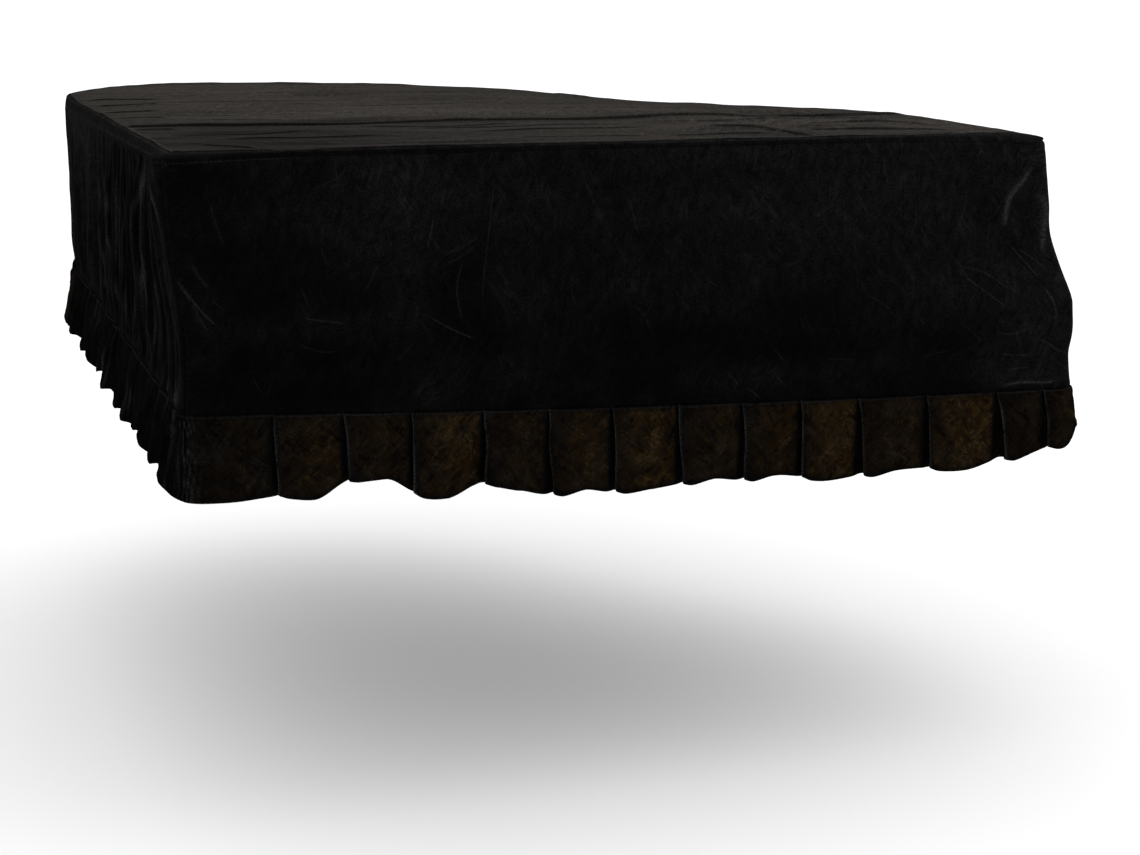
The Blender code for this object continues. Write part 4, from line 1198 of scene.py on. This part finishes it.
def rim_marks(runs, steps):
    """How pale the rim's painted highlights are, and its painted light and shade."""
    x, along_spine = LID.at(runs)[:, 0], LID.outward(runs)[:, 0] < -0.5
    line = sum(np.exp(-(((steps - at) / wide) ** 2)) for at, wide in RIM_LINES)
    broken = np.tile(uneven(runs, 0.0, RIM_LINE_CELL, 35), len(steps))
    broken = RIM_LINE_MEAN + RIM_LINE_SWING * broken
    light = np.repeat(RIM_LINE_LIGHT * line, len(runs)) * broken
    worn = RIM_LEAST_PALE + SPINE_RIM_PAINTED_LIGHT * along_spine
    for start, reach, much in RIM_PAINTED_LIGHT:
        worn += much * smooth_step((x - start) / reach)
    # The turned-down edge is painted paler and darker in small patches, most along the spine, as
    # the light and shade of small gathers under it.
    along, down = np.tile(runs, len(steps)), np.repeat(2.0 * steps, len(runs))
    rumpled = np.where(along_spine, SPINE_RIM_RUMPLED, RIM_RUMPLED)
    rumpled = np.tile(rumpled, len(steps)) * uneven(along, down, RUMPLED_CELL, 38)
    return light, np.tile(worn, len(steps)) + rumpled


def ring_triangles(rings, count):
    """The triangles between closed rings of points."""
    number = np.arange(rings * count).reshape(rings, count)
    number = np.hstack([number, number[:, :1]])
    a, b = number[:-1, :-1].ravel(), number[:-1, 1:].ravel()
    d, e = number[1:, :-1].ravel(), number[1:, 1:].ravel()
    return np.vstack([np.stack([a, d, e], -1), np.stack([a, e, b], -1)])


def top_sheet(name, materials):
    """The top: flat on the lid with its folds, and turned down over the edge to the seam."""
    count = round(LID.length / TOP_RIM_CELL)
    runs = np.linspace(0.0, LID.length, count, endpoint=False)
    steps = np.linspace(0.0, RIM_KNOTS[-1], RIM_STEPS)
    inset, rings, ways, turned = top_rim(runs, steps)

    grid = [np.arange(-0.05, size + 0.05, TOP_CELL) for size in (LID_WIDTH, LID_LENGTH)]
    inside = np.stack(np.meshgrid(*grid), -1).reshape(-1, 2)
    inside = with_creases(inside, TOP_CREASES + SMALL_TOP_CREASES, TOP_CELL, TOP_STEEPNESS)
    far = edge_distance(inside)
    kept = far > TOP_INSET + 0.6 * TOP_CELL
    inside, far = inside[kept], far[kept]
    relief, crest, worn = top_detail(*inside.T)
    fade = 0.5 + 0.5 * smooth_step(far / 0.04)
    height = CLOTH + ridges(*inside.T, BROAD_TOP_FOLDS) + fade * relief

    outer = np.vstack([rings.reshape(-1, 3), placed(inside, height)])
    inner = outer - CLOTH * np.vstack([ways.reshape(-1, 3), np.tile(UP, (len(inside), 1))])
    below = (RIM_STEPS - 1) * count
    middle = triangles_within(inset, inside)
    middle = np.where(middle < count, middle, middle + below)
    triangles = np.vstack([ring_triangles(RIM_STEPS, count), middle])
    uv = outer[:, :2] + (LID_WIDTH / 2, LID_LENGTH / 2)
    rim_light, rim_painted_light = rim_marks(runs, steps)
    marks = {
        "crest": np.concatenate([rim_light, crest]),
        "worn": np.clip(np.concatenate([rim_painted_light, worn]), LEAST_PALE, MOST_PALE),
    }
    over = turned[np.minimum(triangles.min(axis=1) // count, RIM_STEPS - 1)] > TURNED_OVER
    over &= triangles.max(axis=1) < RIM_STEPS * count
    rim = np.arange(count) + below
    return cloth_piece(name, outer, inner, triangles, rim, uv, marks, materials, over.astype(int))


# ---- The ruffle


def seam_line():
    """The line of the ruffle's seam seen from above, and the lid's run at each of its points."""
    runs = np.linspace(0.0, LID.length, SEAM_STEPS, endpoint=False)
    return Line(wall_line(runs, edge_value(runs, "ruffle_seam"), folded=False)), runs


SEAM, SEAM_RUNS = seam_line()


def seam_run(lid_run):
    """The distance along the ruffle's seam at a run of the lid's edge."""
    return np.interp(lid_run, np.append(SEAM_RUNS, LID.length), SEAM.runs)


def lid_run(run):
    """The run of the lid's edge at a distance along the ruffle's seam."""
    return np.interp(run, SEAM.runs, np.append(SEAM_RUNS, LID.length))


def seam_run_beside(x=None, y=None):
    """The distance along the seam of a fold on the front, at x, or on the spine, at y."""
    if x is not None:
        near = np.linalg.norm(SEAM.points[:-1] - (x, SEAM.points[:-1, 1].min()), axis=1)
    else:
        near = np.linalg.norm(SEAM.points[:-1] - (0.0, y), axis=1)
    return SEAM.runs[near.argmin()]


def face_station():
    """Where in a pleat its face begins."""
    return [row[0] for row in PLEAT].index("face")


def pleat_stations(start, end, pleats, flares):
    """The points of a strip's pleated section: run, lean at the hem, how far each stands off the
    wall at the seam and at the hem, the face it belongs to, and how far across it it lies."""
    share, past, at_seam, at_hem = (
        column(PLEAT, PLEAT_COLUMNS, name) for name in ("along", "past", "at_seam", "at_hem")
    )
    face = face_station()
    first_fold = pleats[0][0]
    stations = [(start, 0.0, 0.0, flares[0])]
    for place in range(face + 1, len(PLEAT)):
        run = start + share[place] * (first_fold - start) + past[place]
        stations.append((run, 0.0, at_seam[place], at_hem[place]))
    next_folds = [pleat[0] for pleat in pleats[1:]] + [None]
    for (fold, lean, _, _, bold), next_fold in zip(pleats, next_folds):
        pitch = PLEAT_PITCH if next_fold is None else next_fold - fold
        for place in range(face + 1 if next_fold is None else len(PLEAT)):
            run = fold + share[place] * pitch + past[place]
            stations.append((run, lean, at_seam[place], at_hem[place] * bold))
    stations.append((end, 0.0, 0.0, flares[1]))
    return np.array(stations)


def hem_line(runs, start, end, pleats, joint_hems):
    """The hem's drop along a strip, through its drop at each fold and each face."""
    folds = [pleat[0] for pleat in pleats] + [end]
    hem_runs, hem_drops = [start], [joint_hems[0]]
    for (fold, _, at_fold, at_face, _), next_fold in zip(pleats, folds[1:]):
        hem_runs += [fold, (fold + next_fold) / 2]
        hem_drops += [at_fold, at_face]
    return smooth_between(runs, hem_runs + [end], hem_drops + [joint_hems[1]])


def across_line(points, start_way, end_way):
    """The level direction across lines of points, rows of them at once, given their ends'."""
    steps = np.diff(points, axis=1)
    steps /= np.maximum(np.linalg.norm(steps, axis=-1, keepdims=True), 1e-9)
    forward = steps[:, :-1] + steps[:, 1:]
    across = np.stack([forward[..., 1], -forward[..., 0]], -1)
    across /= np.linalg.norm(across, axis=-1, keepdims=True)
    rows = len(points)
    ends = [np.tile(way, (rows, 1, 1)) for way in (start_way, end_way)]
    return np.concatenate([ends[0], across, ends[1]], axis=1)


def face_crinkles(run, down, start, pleats, end, side, seed):
    """The swells and small creases of each pleat's face, by run and share of the height: their
    relief and painted highlights, how much painted warm reflection the face has, and how far it has
    turned in under the next."""
    folds = np.array([start] + [pleat[0] for pleat in pleats] + [end])
    brown = np.array(FACE_BROWN[side])
    which = np.clip(np.searchsorted(folds, run, side="right") - 1, 0, len(folds) - 2)
    share = (run - folds[which]) / (folds[which + 1] - folds[which])
    rows = scattered(40 + seed, FACE_BUNCHES * len(pleats), (start, end), *FACE_CREASES)
    fall = down * RUFFLE
    creased, light = creases_at(run.ravel(), fall.ravel(), rows)
    edge = grown(*zip((share, 1.0 - share, down, 1.0 - down), FACE_REACHES))
    relief = creased.reshape(run.shape)
    for place, (high, cell) in enumerate(FACE_SWELLS):
        relief = relief + high * uneven(run, fall, cell, 51 + place + seed)
    # The painted warm brown fades where a face turns in under the next pleat, into its shade.
    deep = smooth_step((share - TURNED_IN) / TURNED_IN_OVER)
    across = (1.0 - FACE_BROWN_LEAST) * smooth_step(share / FACE_BROWN_OVER)
    brown = edge * brown[which % len(brown)] * (FACE_BROWN_LEAST + across)
    return edge * relief, edge * light.reshape(run.shape), brown * (1.0 - deep), deep


def along_strip(start, end, pleats, flares, cell):
    """A strip laid out flat: how far along the cloth each column of its points is, the run, lean
    and places off the wall there, and how far it is from the nearest fold that shows."""
    stations = pleat_stations(start, end, pleats, flares)
    middle = np.stack([stations[:, 0], 0.4 * stations[:, 2] + 0.6 * stations[:, 3]], -1)
    lengths = np.linalg.norm(np.diff(middle, axis=0), axis=1)
    knots = np.concatenate([[0.0], np.cumsum(lengths)])
    at = [knots[:1]]
    for a, b in zip(knots, knots[1:]):
        steps = max(3, round((b - a) / cell))
        at.append(np.linspace(a, b, steps + 1)[1:])
    at = np.concatenate(at)
    turns = knots[len(PLEAT) + 1 - face_station() :: len(PLEAT)][: len(pleats)]
    from_turn = at - turns[:, None]
    beside = from_turn[np.abs(from_turn).argmin(0), np.arange(len(at))]
    return at, smooth_path(knots, stations, at).T, beside


def ruffle_light(along, down, drop, below_seam, beside, nearest, seed, gathered, creases):
    """The painted highlights of a strip's folds, seam, creases and gathers."""
    fold = np.exp(-((beside / FOLD_LINE) ** 2))
    broken = uneven(FOLD_BREAKS * down, nearest, 1.0, 70 + seed)
    fold = fold * (1.0 - FOLD_BROKEN + FOLD_BROKEN * broken)
    seam = SEAM_LINE_LIGHT * np.exp(-(((below_seam - SEAM_LINE_DROP) / SEAM_LINE) ** 2))
    lines = np.maximum(FOLD_LIGHT * fold, seam)
    light = np.where(np.maximum(fold, seam) > LINE_SHOWS, lines, FACE_LIGHT * creases)
    if gathered:
        # The painted highlights of the gathers above run on into this strip.
        light = np.maximum(light, GATHER_LIGHT * fine_gathers(lid_run(along), drop)[1])
    # Painted highlights of fine gathers at the front left corner, where the seam allowances bunch
    # the ruffle.
    from_corner = np.minimum(np.abs(along), np.abs(SEAM.length - along))
    bunched = np.exp(-((from_corner / BUNCH_REACH) ** 2)) * smooth_step(down / BUNCH_BELOW)
    wandered = from_corner + BUNCH_WANDER * uneven(along, drop, BUNCH_WANDER_CELL, 90)
    thread = np.clip(np.cos(2 * np.pi * wandered / BUNCH_PITCH), 0.0, 1.0)
    return np.maximum(light, BUNCH_LIGHT * bunched * thread**2)


def ruffle_sheet(side, seed, start, end, pleats, joints, cell):
    """A strip of ruffle along the seam from start to end, in knife pleats."""
    gathered = side == "spine"
    hems, flares = [joint[1] for joint in joints], [joint[2] for joint in joints]
    at, (runs, leans, seam_out, hem_out), beside = along_strip(start, end, pleats, flares, cell)
    if gathered:
        seam_out = seam_out / 2
    hem = hem_line(runs, start, end, pleats, hems)
    # A pleat's corner is rounded off where its fold meets the hem.
    hem = hem - FOLD_ROUND * np.exp(-((beside / FOLD_ROUND_REACH) ** 2))
    ruffle_seam = edge_value(lid_run(runs), "ruffle_seam") + GAP / 2
    rows = 1 + round(float((hem - ruffle_seam).max()) / cell)
    down = np.linspace(0.0, 1.0, rows)[:, None]
    drop = ruffle_seam + (hem - ruffle_seam) * down
    # Each fold wanders a little on its way down.
    folds = np.array([pleat[0] for pleat in pleats])
    nearest = np.abs(runs - folds[:, None]).argmin(0)[None, :]
    wander = FOLD_WANDER * uneven(FOLD_WANDERS * down, nearest, 1.0, 60 + seed)
    wander = wander * smooth_step(down / FOLD_HELD)
    free = smooth_step(np.minimum(runs - start, end - runs) / STRIP_END_REACH)
    along = np.clip(runs + leans * down + free * wander, start, end)
    # Only a pleat's face and its tuck are crinkled, not the layer that returns under it.
    shown = np.where(np.gradient(runs) > 0, 1.0, 0.0)
    level = down * np.ones_like(along)
    relief, creases, brown, deep = face_crinkles(along, level, start, pleats, end, side, seed)
    out = seam_out + (hem_out - seam_out) * down**FLARE_CURVE
    out = out + shown * relief - seam_roll(drop - ruffle_seam, RUFFLE_ROLL)
    wall = wall_line(lid_run(along), edge_value(lid_run(along), "ruffle_seam"))
    centre = wall + SEAM.outward(along) * (out - CLOTH / 2)[..., None]
    doubled = HEM_STEP * smooth_step((drop - hem + HEM) / HEM_STEP_REACH)
    round_off = np.sqrt(np.clip((hem - drop) / HEM_ROUND, HEM_THINNEST, 1.0))
    half = ((CLOTH / 2 + doubled) * round_off)[..., None]
    ways = across_line(centre, SEAM.outward(start), SEAM.outward(end))
    sides = [placed(centre + way * half * ways, -drop).reshape(-1, 3) for way in (1, -1)]
    below_seam = drop - ruffle_seam
    light = ruffle_light(along, down, drop, below_seam, beside, nearest, seed, gathered, creases)
    worn = piece_wear_and_light("gathered ruffle" if gathered else "ruffle", along, drop, seed)
    # Painted shade where a face turns in under the next pleat.
    worn = worn - TURNED_IN_SHADE * deep
    marks = {
        "crest": (light * shown).ravel(),
        "face": (brown * shown).ravel(),
        "worn": np.clip(worn, LEAST_PALE, MOST_PALE).ravel(),
    }
    quads, rim = grid_faces(*drop.shape)
    uv = np.stack([np.broadcast_to(at, drop.shape), -drop], -1).reshape(-1, 2)
    return cloth_piece(side + "_frill", *sides, quads, rim, uv, marks, (RUFFLE_VELVET,))


def back_pleats(start, end):
    """The back's pleats, which are alike but for a little unevenness."""
    count = round((end - start) / PLEAT_PITCH)
    pitch = (end - start) / count
    pleats = []
    for number in range(1, count):
        fold = start + pitch * (number + 0.12 * np.sin(number * 2.3))
        hem = edge_value(lid_run(fold), "ruffle_seam") + RUFFLE
        rise = HEM_UNEVEN * np.sin(number * 1.7)
        bold = 1.0 + 0.15 * np.sin(number * 2.9)
        pleats.append((fold, BACK_LEAN, hem + rise, hem - 0.6 * rise, bold))
    return pleats


# ---- Velvet


class Nodes:
    """A material's node tree, made from the shader outwards."""

    def __init__(self, name):
        self.material = bpy.data.materials.new(name)
        self.material.use_nodes = True
        self.tree = self.material.node_tree
        self.shader = self.tree.nodes["Principled BSDF"]

    def add(self, kind, inputs, **settings):
        node = self.tree.nodes.new(kind)
        for key, value in settings.items():
            setattr(node, key, value)
        for key, value in inputs.items():
            socket = node.inputs[key]
            if isinstance(value, bpy.types.NodeSocket):
                self.tree.links.new(value, socket)
            else:
                socket.default_value = value
        return node

    def math(self, operation, a, b=0.5, clamp=False):
        settings = {"operation": operation, "use_clamp": clamp}
        return self.add("ShaderNodeMath", {0: a, 1: b}, **settings).outputs[0]

    def plus(self, a, b, clamp=False):
        return self.math("ADD", a, b, clamp)

    def times(self, a, b):
        return self.math("MULTIPLY", a, b)

    def blend(self, share, a, b):
        inputs = {"Factor": share, "A": a, "B": b}
        return self.add("ShaderNodeMix", inputs, data_type="RGBA").outputs["Result"]

    def noise(self, long, way, per_metre, detail, rough):
        """A pattern in the cloth's own place, in metres, drawn out as many times along a way."""
        place = self.add("ShaderNodeUVMap", {}, uv_map="cut").outputs["UV"]
        turn = (0.0, 0.0, np.radians(way))
        inputs = {"Vector": place, "Scale": (long, 1.0, 1.0), "Rotation": turn}
        place = self.add("ShaderNodeMapping", inputs, vector_type="TEXTURE").outputs["Vector"]
        inputs = {"Vector": place, "Scale": per_metre, "Detail": detail, "Roughness": rough}
        return self.add("ShaderNodeTexNoise", inputs).outputs["Fac"]

    def pattern(self, name):
        return self.noise(*PATTERNS[name])

    def stretch(self, value, low, high, start=0.0, end=1.0):
        inputs = {"Value": value, "From Min": low, "From Max": high, "To Min": start, "To Max": end}
        node = self.add("ShaderNodeMapRange", inputs, interpolation_type="SMOOTHSTEP")
        return node.outputs["Result"]

    def mark(self, name):
        return self.add("ShaderNodeAttribute", {}, attribute_name=name).outputs["Fac"]


# The velvet's patterns: how many times longer than wide each is drawn out, the way it then runs in
# degrees, how many a metre, and the noise's detail and roughness.
PATTERNS = {
    "grain": (1.0, 0.0, 330.0, 3.0, 0.7),
    "brushed": (5.0, 78.0, 150.0, 2.0, 0.6),
    "fibres": (3.0, 86.0, 1100.0, 1.0, 0.6),
    "mottled": (1.6, 60.0, 75.0, 3.0, 0.65),
    "where crushed": (1.0, 0.0, 22.0, 2.0, 0.5),
    "where dark": (1.0, 0.0, 31.0, 2.0, 0.5),
    "where lit": (1.0, 0.0, 40.0, 2.0, 0.5),
    "where crossed": (1.0, 0.0, 17.0, 1.0, 0.5),
    "streaked": (4.5, 38.0, 130.0, 3.0, 0.6),
    "crossed": (4.5, 128.0, 120.0, 3.0, 0.6),
    "patchy": (1.0, 0.0, 36.0, 2.0, 0.6),
}
# The fine lines that the pile is crushed along, those that are darker as painted shade, and the
# painted highlights on the ruffle's brown faces: the way they run in degrees, how much longer than
# wide they are, how many a metre, how wide each is, and from where to where in their places'
# pattern they come up.
CRUSH_LINES = (
    (66.0, 8.0, 90.0, 0.055, 0.50, 0.62),
    (118.0, 8.0, 80.0, 0.050, 0.50, 0.38),
    (20.0, 9.0, 85.0, 0.040, 0.56, 0.66),
)
DARK_LINES = (
    (52.0, 7.0, 105.0, 0.030, 0.46, 0.58),
    (142.0, 6.0, 90.0, 0.028, 0.48, 0.60),
)
FACE_LINES = (
    (32.0, 7.0, 120.0, 0.034, 0.42, 0.52),
    (98.0, 7.0, 105.0, 0.032, 0.44, 0.54),
    (152.0, 7.0, 120.0, 0.034, 0.42, 0.52),
)


# How pale the haze of rubbed pile and painted light is, how much of it there is where the wear and
# painted light are nought, and between which values of its speckle it comes up.
HAZE, HAZE_AT_NOUGHT, HAZE_FROM, HAZE_TO = 0.28, 0.30, 0.50, 1.30
BRUSHED_SPECKLE, MOTTLED_SPECKLE = 0.15, 0.6
LINE_LIFT, LINE_LIFT_BY_PALENESS = 0.02, 0.12  # how pale the crushed lines are
CREST_GRAIN = (0.32, 0.62, 0.25, 1.15)  # how the grain breaks up the creases' pale lines
# How patchy the painted warm reflection is, and between which values of its streaks it comes up.
BROWN_PATCHY, BROWN_STREAKS, BROWN_CROSSED = 0.8, (0.62, 1.15, 0.12, 1.0), (0.42, 0.58)
BROWN_LINE_LIFT = 0.55
# How rough the pile and its sheen are, and how deep and in what shares its patterns stand up.
PILE_ROUGHNESS, SHEEN_ROUGHNESS = 0.9, 0.40
PILE_DEPTH, PILE_RELIEF = 0.0012, 0.8
CRUSHED_RELIEF, BRUSHED_RELIEF, FIBRE_RELIEF = 0.9, 0.4, 0.15


def crush_lines(nodes, where, rows):
    """Thin lines in patches, from 0 to 1."""
    where = nodes.pattern(where)
    total = 0.0
    for way, long, per_metre, wide, low, high in rows:
        field = nodes.noise(long, way, per_metre, 1.0, 0.5)
        off = nodes.math("ABSOLUTE", nodes.math("SUBTRACT", field, 0.5))
        line = nodes.times(nodes.stretch(off, 0.0, wide, 1.0, 0.0), nodes.stretch(where, low, high))
        total = nodes.math("MAXIMUM", total, line)
    return total


def brown_faces(nodes, lift, colour, tint, lit):
    """A painted warm reflection over the pile's colour, from its tint to where it is lit, with
    painted highlights along its fine strokes.
    """
    crossed = nodes.stretch(nodes.pattern("where crossed"), *BROWN_CROSSED)
    streaks = nodes.blend(crossed, nodes.pattern("streaked"), nodes.pattern("crossed"))
    patchy = nodes.times(nodes.pattern("patchy"), BROWN_PATCHY)
    brown = nodes.stretch(nodes.plus(streaks, patchy), *BROWN_STREAKS)
    brown = nodes.times(brown, nodes.mark("face"))
    strokes = nodes.times(crush_lines(nodes, "where lit", FACE_LINES), BROWN_LINE_LIFT)
    face = nodes.blend(nodes.plus(strokes, lift, True), (*tint, 1.0), (*lit, 1.0))
    return nodes.blend(brown, colour, face)


def velvet(name, pile, lifted, sheen, sheen_tint, dark, face=None):
    """Black velvet, paler where its pile is lifted by wear and by painted light, with painted
    highlights along its creases. Dark says how strong its darker lines of painted shade are, and
    face gives the two browns of the painted warm reflection."""
    nodes = Nodes(name)
    pile = (*pile, 1.0)
    grain, brushed = nodes.pattern("grain"), nodes.pattern("brushed")
    worn, crushed = nodes.mark("worn"), crush_lines(nodes, "where crushed", CRUSH_LINES)
    speckle = nodes.plus(grain, nodes.times(brushed, BRUSHED_SPECKLE))
    speckle = nodes.plus(speckle, nodes.times(nodes.pattern("mottled"), MOTTLED_SPECKLE))
    haze = nodes.times(nodes.stretch(speckle, HAZE_FROM, HAZE_TO), HAZE)
    haze = nodes.times(nodes.plus(worn, HAZE_AT_NOUGHT), haze)
    drawn = nodes.times(crushed, nodes.plus(nodes.times(worn, LINE_LIFT_BY_PALENESS), LINE_LIFT))
    creased = nodes.times(nodes.mark("crest"), nodes.stretch(grain, *CREST_GRAIN))
    lift = nodes.plus(nodes.plus(haze, drawn), creased, True)
    colour = nodes.blend(lift, pile, (*lifted, 1.0))
    if face:
        colour = brown_faces(nodes, lift, colour, *face)
    # Painted shade along the darker lines.
    shade = nodes.times(crush_lines(nodes, "where dark", DARK_LINES), dark)
    colour = nodes.blend(shade, colour, pile)
    shader = nodes.shader
    nodes.tree.links.new(colour, shader.inputs["Base Color"])
    shader.inputs["Roughness"].default_value = PILE_ROUGHNESS
    shader.inputs["Specular IOR Level"].default_value = 0.0
    shader.inputs["Sheen Weight"].default_value = sheen
    shader.inputs["Sheen Roughness"].default_value = SHEEN_ROUGHNESS
    shader.inputs["Sheen Tint"].default_value = (*sheen_tint, 1.0)
    relief = nodes.plus(nodes.times(crushed, CRUSHED_RELIEF), nodes.times(brushed, BRUSHED_RELIEF))
    relief = nodes.plus(relief, nodes.times(nodes.pattern("fibres"), FIBRE_RELIEF))
    inputs = {"Height": relief, "Strength": PILE_RELIEF, "Distance": PILE_DEPTH}
    normal = nodes.add("ShaderNodeBump", inputs).outputs["Normal"]
    nodes.tree.links.new(normal, shader.inputs["Normal"])
    return nodes.material


BLACK = (0.0007, 0.0006, 0.0006)
# The painted warm reflection on the ruffle's faces: its tint, and its colour where it is lit.
BROWN = ((0.0130, 0.0071, 0.0020), (0.0400, 0.0270, 0.0120))
WALL_VELVET = velvet(
    "wall_velvet", BLACK, (0.0200, 0.0194, 0.0202), 0.012, (0.72, 0.68, 0.66), dark=0.45
)
# The top's velvet is the walls' painted paler and warmer, for the sheen and light on the top.
SHEEN_PAINTED_TOP_VELVET = velvet(
    "top_velvet_painted_sheen", (0.0020, 0.0018, 0.0017), (0.1250, 0.1140, 0.1040), 0.036, (0.80, 0.73, 0.67), 0.0
)
RUFFLE_VELVET = velvet(
    "ruffle_velvet", BLACK, (0.0300, 0.0288, 0.0284), 0.004, (0.74, 0.67, 0.60), 0.75, BROWN
)


# ---- The camera, lights and floor

FLOOR_DROP = 1.003  # the floor on which the piano stands
CAMERA_PLACE = Vector((-1.258, -4.0355, 0.321))
CAMERA_YAW, CAMERA_PITCH, CAMERA_ROLL = np.radians((19.68, 12.54, 0.53))
FOCAL_PIXELS, FRAME_WIDTH = 2217.0, 1140.0
SENSOR = 36.0
SKY_LIGHT, SUN_LIGHT, SUN_WIDTH = 1.15, 0.6, 100.0
SUN_WAY = (-0.45, -0.60, -1.0)
FLOOR_REACH = 40.0
FLOOR_CORNERS = ((-1, -1), (1, -1), (1, 1), (-1, 1))


def camera():
    """The camera, which looks at the cover's front and spine from the left."""
    data = bpy.data.cameras.new("camera")
    data.sensor_width = SENSOR
    data.sensor_fit = "HORIZONTAL"
    data.lens = SENSOR * FOCAL_PIXELS / FRAME_WIDTH
    data.clip_end = 200.0
    eye = bpy.data.objects.new("camera", data)
    yaw, pitch, roll = CAMERA_YAW, CAMERA_PITCH, CAMERA_ROLL
    ahead = np.array([np.sin(yaw) * np.cos(pitch), np.cos(yaw) * np.cos(pitch), -np.sin(pitch)])
    right = np.array([np.cos(yaw), -np.sin(yaw), 0.0])
    up = np.cross(right, ahead)
    side = right * np.cos(roll) + up * np.sin(roll)
    top = up * np.cos(roll) - right * np.sin(roll)
    rows = [[side[i], top[i], -ahead[i], CAMERA_PLACE[i]] for i in range(3)]
    eye.matrix_world = Matrix(rows + [[0.0, 0.0, 0.0, 1.0]])
    bpy.context.scene.collection.objects.link(eye)
    bpy.context.scene.camera = eye


def studio():
    """A pale sky and floor, and one wide soft light from above."""
    scene = bpy.context.scene
    scene.view_settings.view_transform = "Standard"
    world = bpy.data.worlds.new("studio")
    world.use_nodes = True
    sky = world.node_tree.nodes["Background"]
    sky.inputs["Color"].default_value = (1.0, 1.0, 1.0, 1.0)
    sky.inputs["Strength"].default_value = SKY_LIGHT
    scene.world = world
    sun = bpy.data.lights.new("wide_overhead", "SUN")
    sun.energy = SUN_LIGHT
    sun.angle = np.radians(SUN_WIDTH)
    lamp = bpy.data.objects.new("wide_overhead", sun)
    lamp.rotation_euler = Vector(SUN_WAY).to_track_quat("-Z", "Y").to_euler()
    scene.collection.objects.link(lamp)
    nodes = Nodes("pale_floor")
    nodes.shader.inputs["Base Color"].default_value = (0.92, 0.92, 0.92, 1.0)
    nodes.shader.inputs["Roughness"].default_value = 0.9
    nodes.shader.inputs["Specular IOR Level"].default_value = 0.1
    data = bpy.data.meshes.new("floor")
    corners = [(x * FLOOR_REACH, y * FLOOR_REACH, -FLOOR_DROP) for x, y in FLOOR_CORNERS]
    data.from_pydata(corners, [], [(0, 1, 2, 3)])
    data.materials.append(nodes.material)
    floor = bpy.data.objects.new("floor", data)
    scene.collection.objects.link(floor)


# ---- The cover


# For each piece: its solid, its finish, the size it is cut to and its area, how it is held, and
# what it rests on.
CUTS = {
    "top_cloth": ("top_panel", "body_velvet", (1.50, 1.58), 1.80, "draped", []),
    "front_cloth": ("front_panel", "body_velvet", (1.48, 0.44), 0.62, "hung", ["top_cloth"]),
    "back_cloth": ("back_panel", "body_velvet", (2.86, 0.38), 1.00, "hung", ["top_cloth"]),
    "spine_cloth": ("spine_panel", "body_velvet", (1.35, 0.34), 0.44, "gathered", ["top_cloth"]),
}
STRIP_CUTS = {"front": (1.98, 0.125), "back": (4.00, 0.115), "spine": (1.75, 0.113)}
for strip, (wide, high) in STRIP_CUTS.items():
    held = ((wide, high), wide * high, "gathered", [strip + "_cloth"])
    CUTS[strip + "_frill"] = (strip + "_ruffle", "ruffle_velvet", *held)


def finished(piece):
    """Puts a sheet on the root body and hides the solid that it stands for."""
    node, slot, flat, area, held, rests_on = CUTS[piece.name]
    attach(piece, "root")
    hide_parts(node)


def make_walls(half):
    """The three walls, half a gap from each other's ends."""
    front = RIGHT_CORNER - half, (FRONT_CELL, FRONT_CELL), front_detail
    back = BACK_END - half, (BACK_CELL, BACK_CELL), back_detail
    spine = LID.length - half, (SPINE_CELL, SPINE_DOWN), spine_detail
    creases = beside_front(FRONT_CREASES + SMALL_FRONT_CREASES)
    finished(wall_sheet("front_cloth", half, *front, creases))
    finished(wall_sheet("back_cloth", RIGHT_CORNER + half, *back, SMALL_BACK_CREASES))
    finished(wall_sheet("spine_cloth", BACK_END + half, *spine, ()))


def make_ruffle(half):
    """The three strips of ruffle, half a gap from each other's ends."""
    right, tail, left = seam_run(RIGHT_CORNER), seam_run(BACK_END), SEAM.length
    front_pleats = [(seam_run_beside(x=row[0]),) + row[1:] for row in FRONT_PLEATS]
    spine_pleats = [(seam_run_beside(y=row[0]),) + row[1:] for row in SPINE_PLEATS]
    at_left, at_right, at_tail = RUFFLE_JOINTS
    strips = (
        ("front", 0.0, right, front_pleats, (at_left, at_right), RUFFLE_CELL),
        ("back", right, tail, back_pleats(right, tail), (at_right, at_tail), BACK_RUFFLE_CELL),
        ("spine", tail, left, spine_pleats, (at_tail, at_left), RUFFLE_CELL),
    )
    for seed, (side, start, end, *rest) in enumerate(strips):
        finished(ruffle_sheet(side, seed, start + half, end - half, *rest))


camera()
studio()
finished(top_sheet("top_cloth", (SHEEN_PAINTED_TOP_VELVET, WALL_VELVET)))
make_walls(GAP / 2)
make_ruffle(GAP / 2)
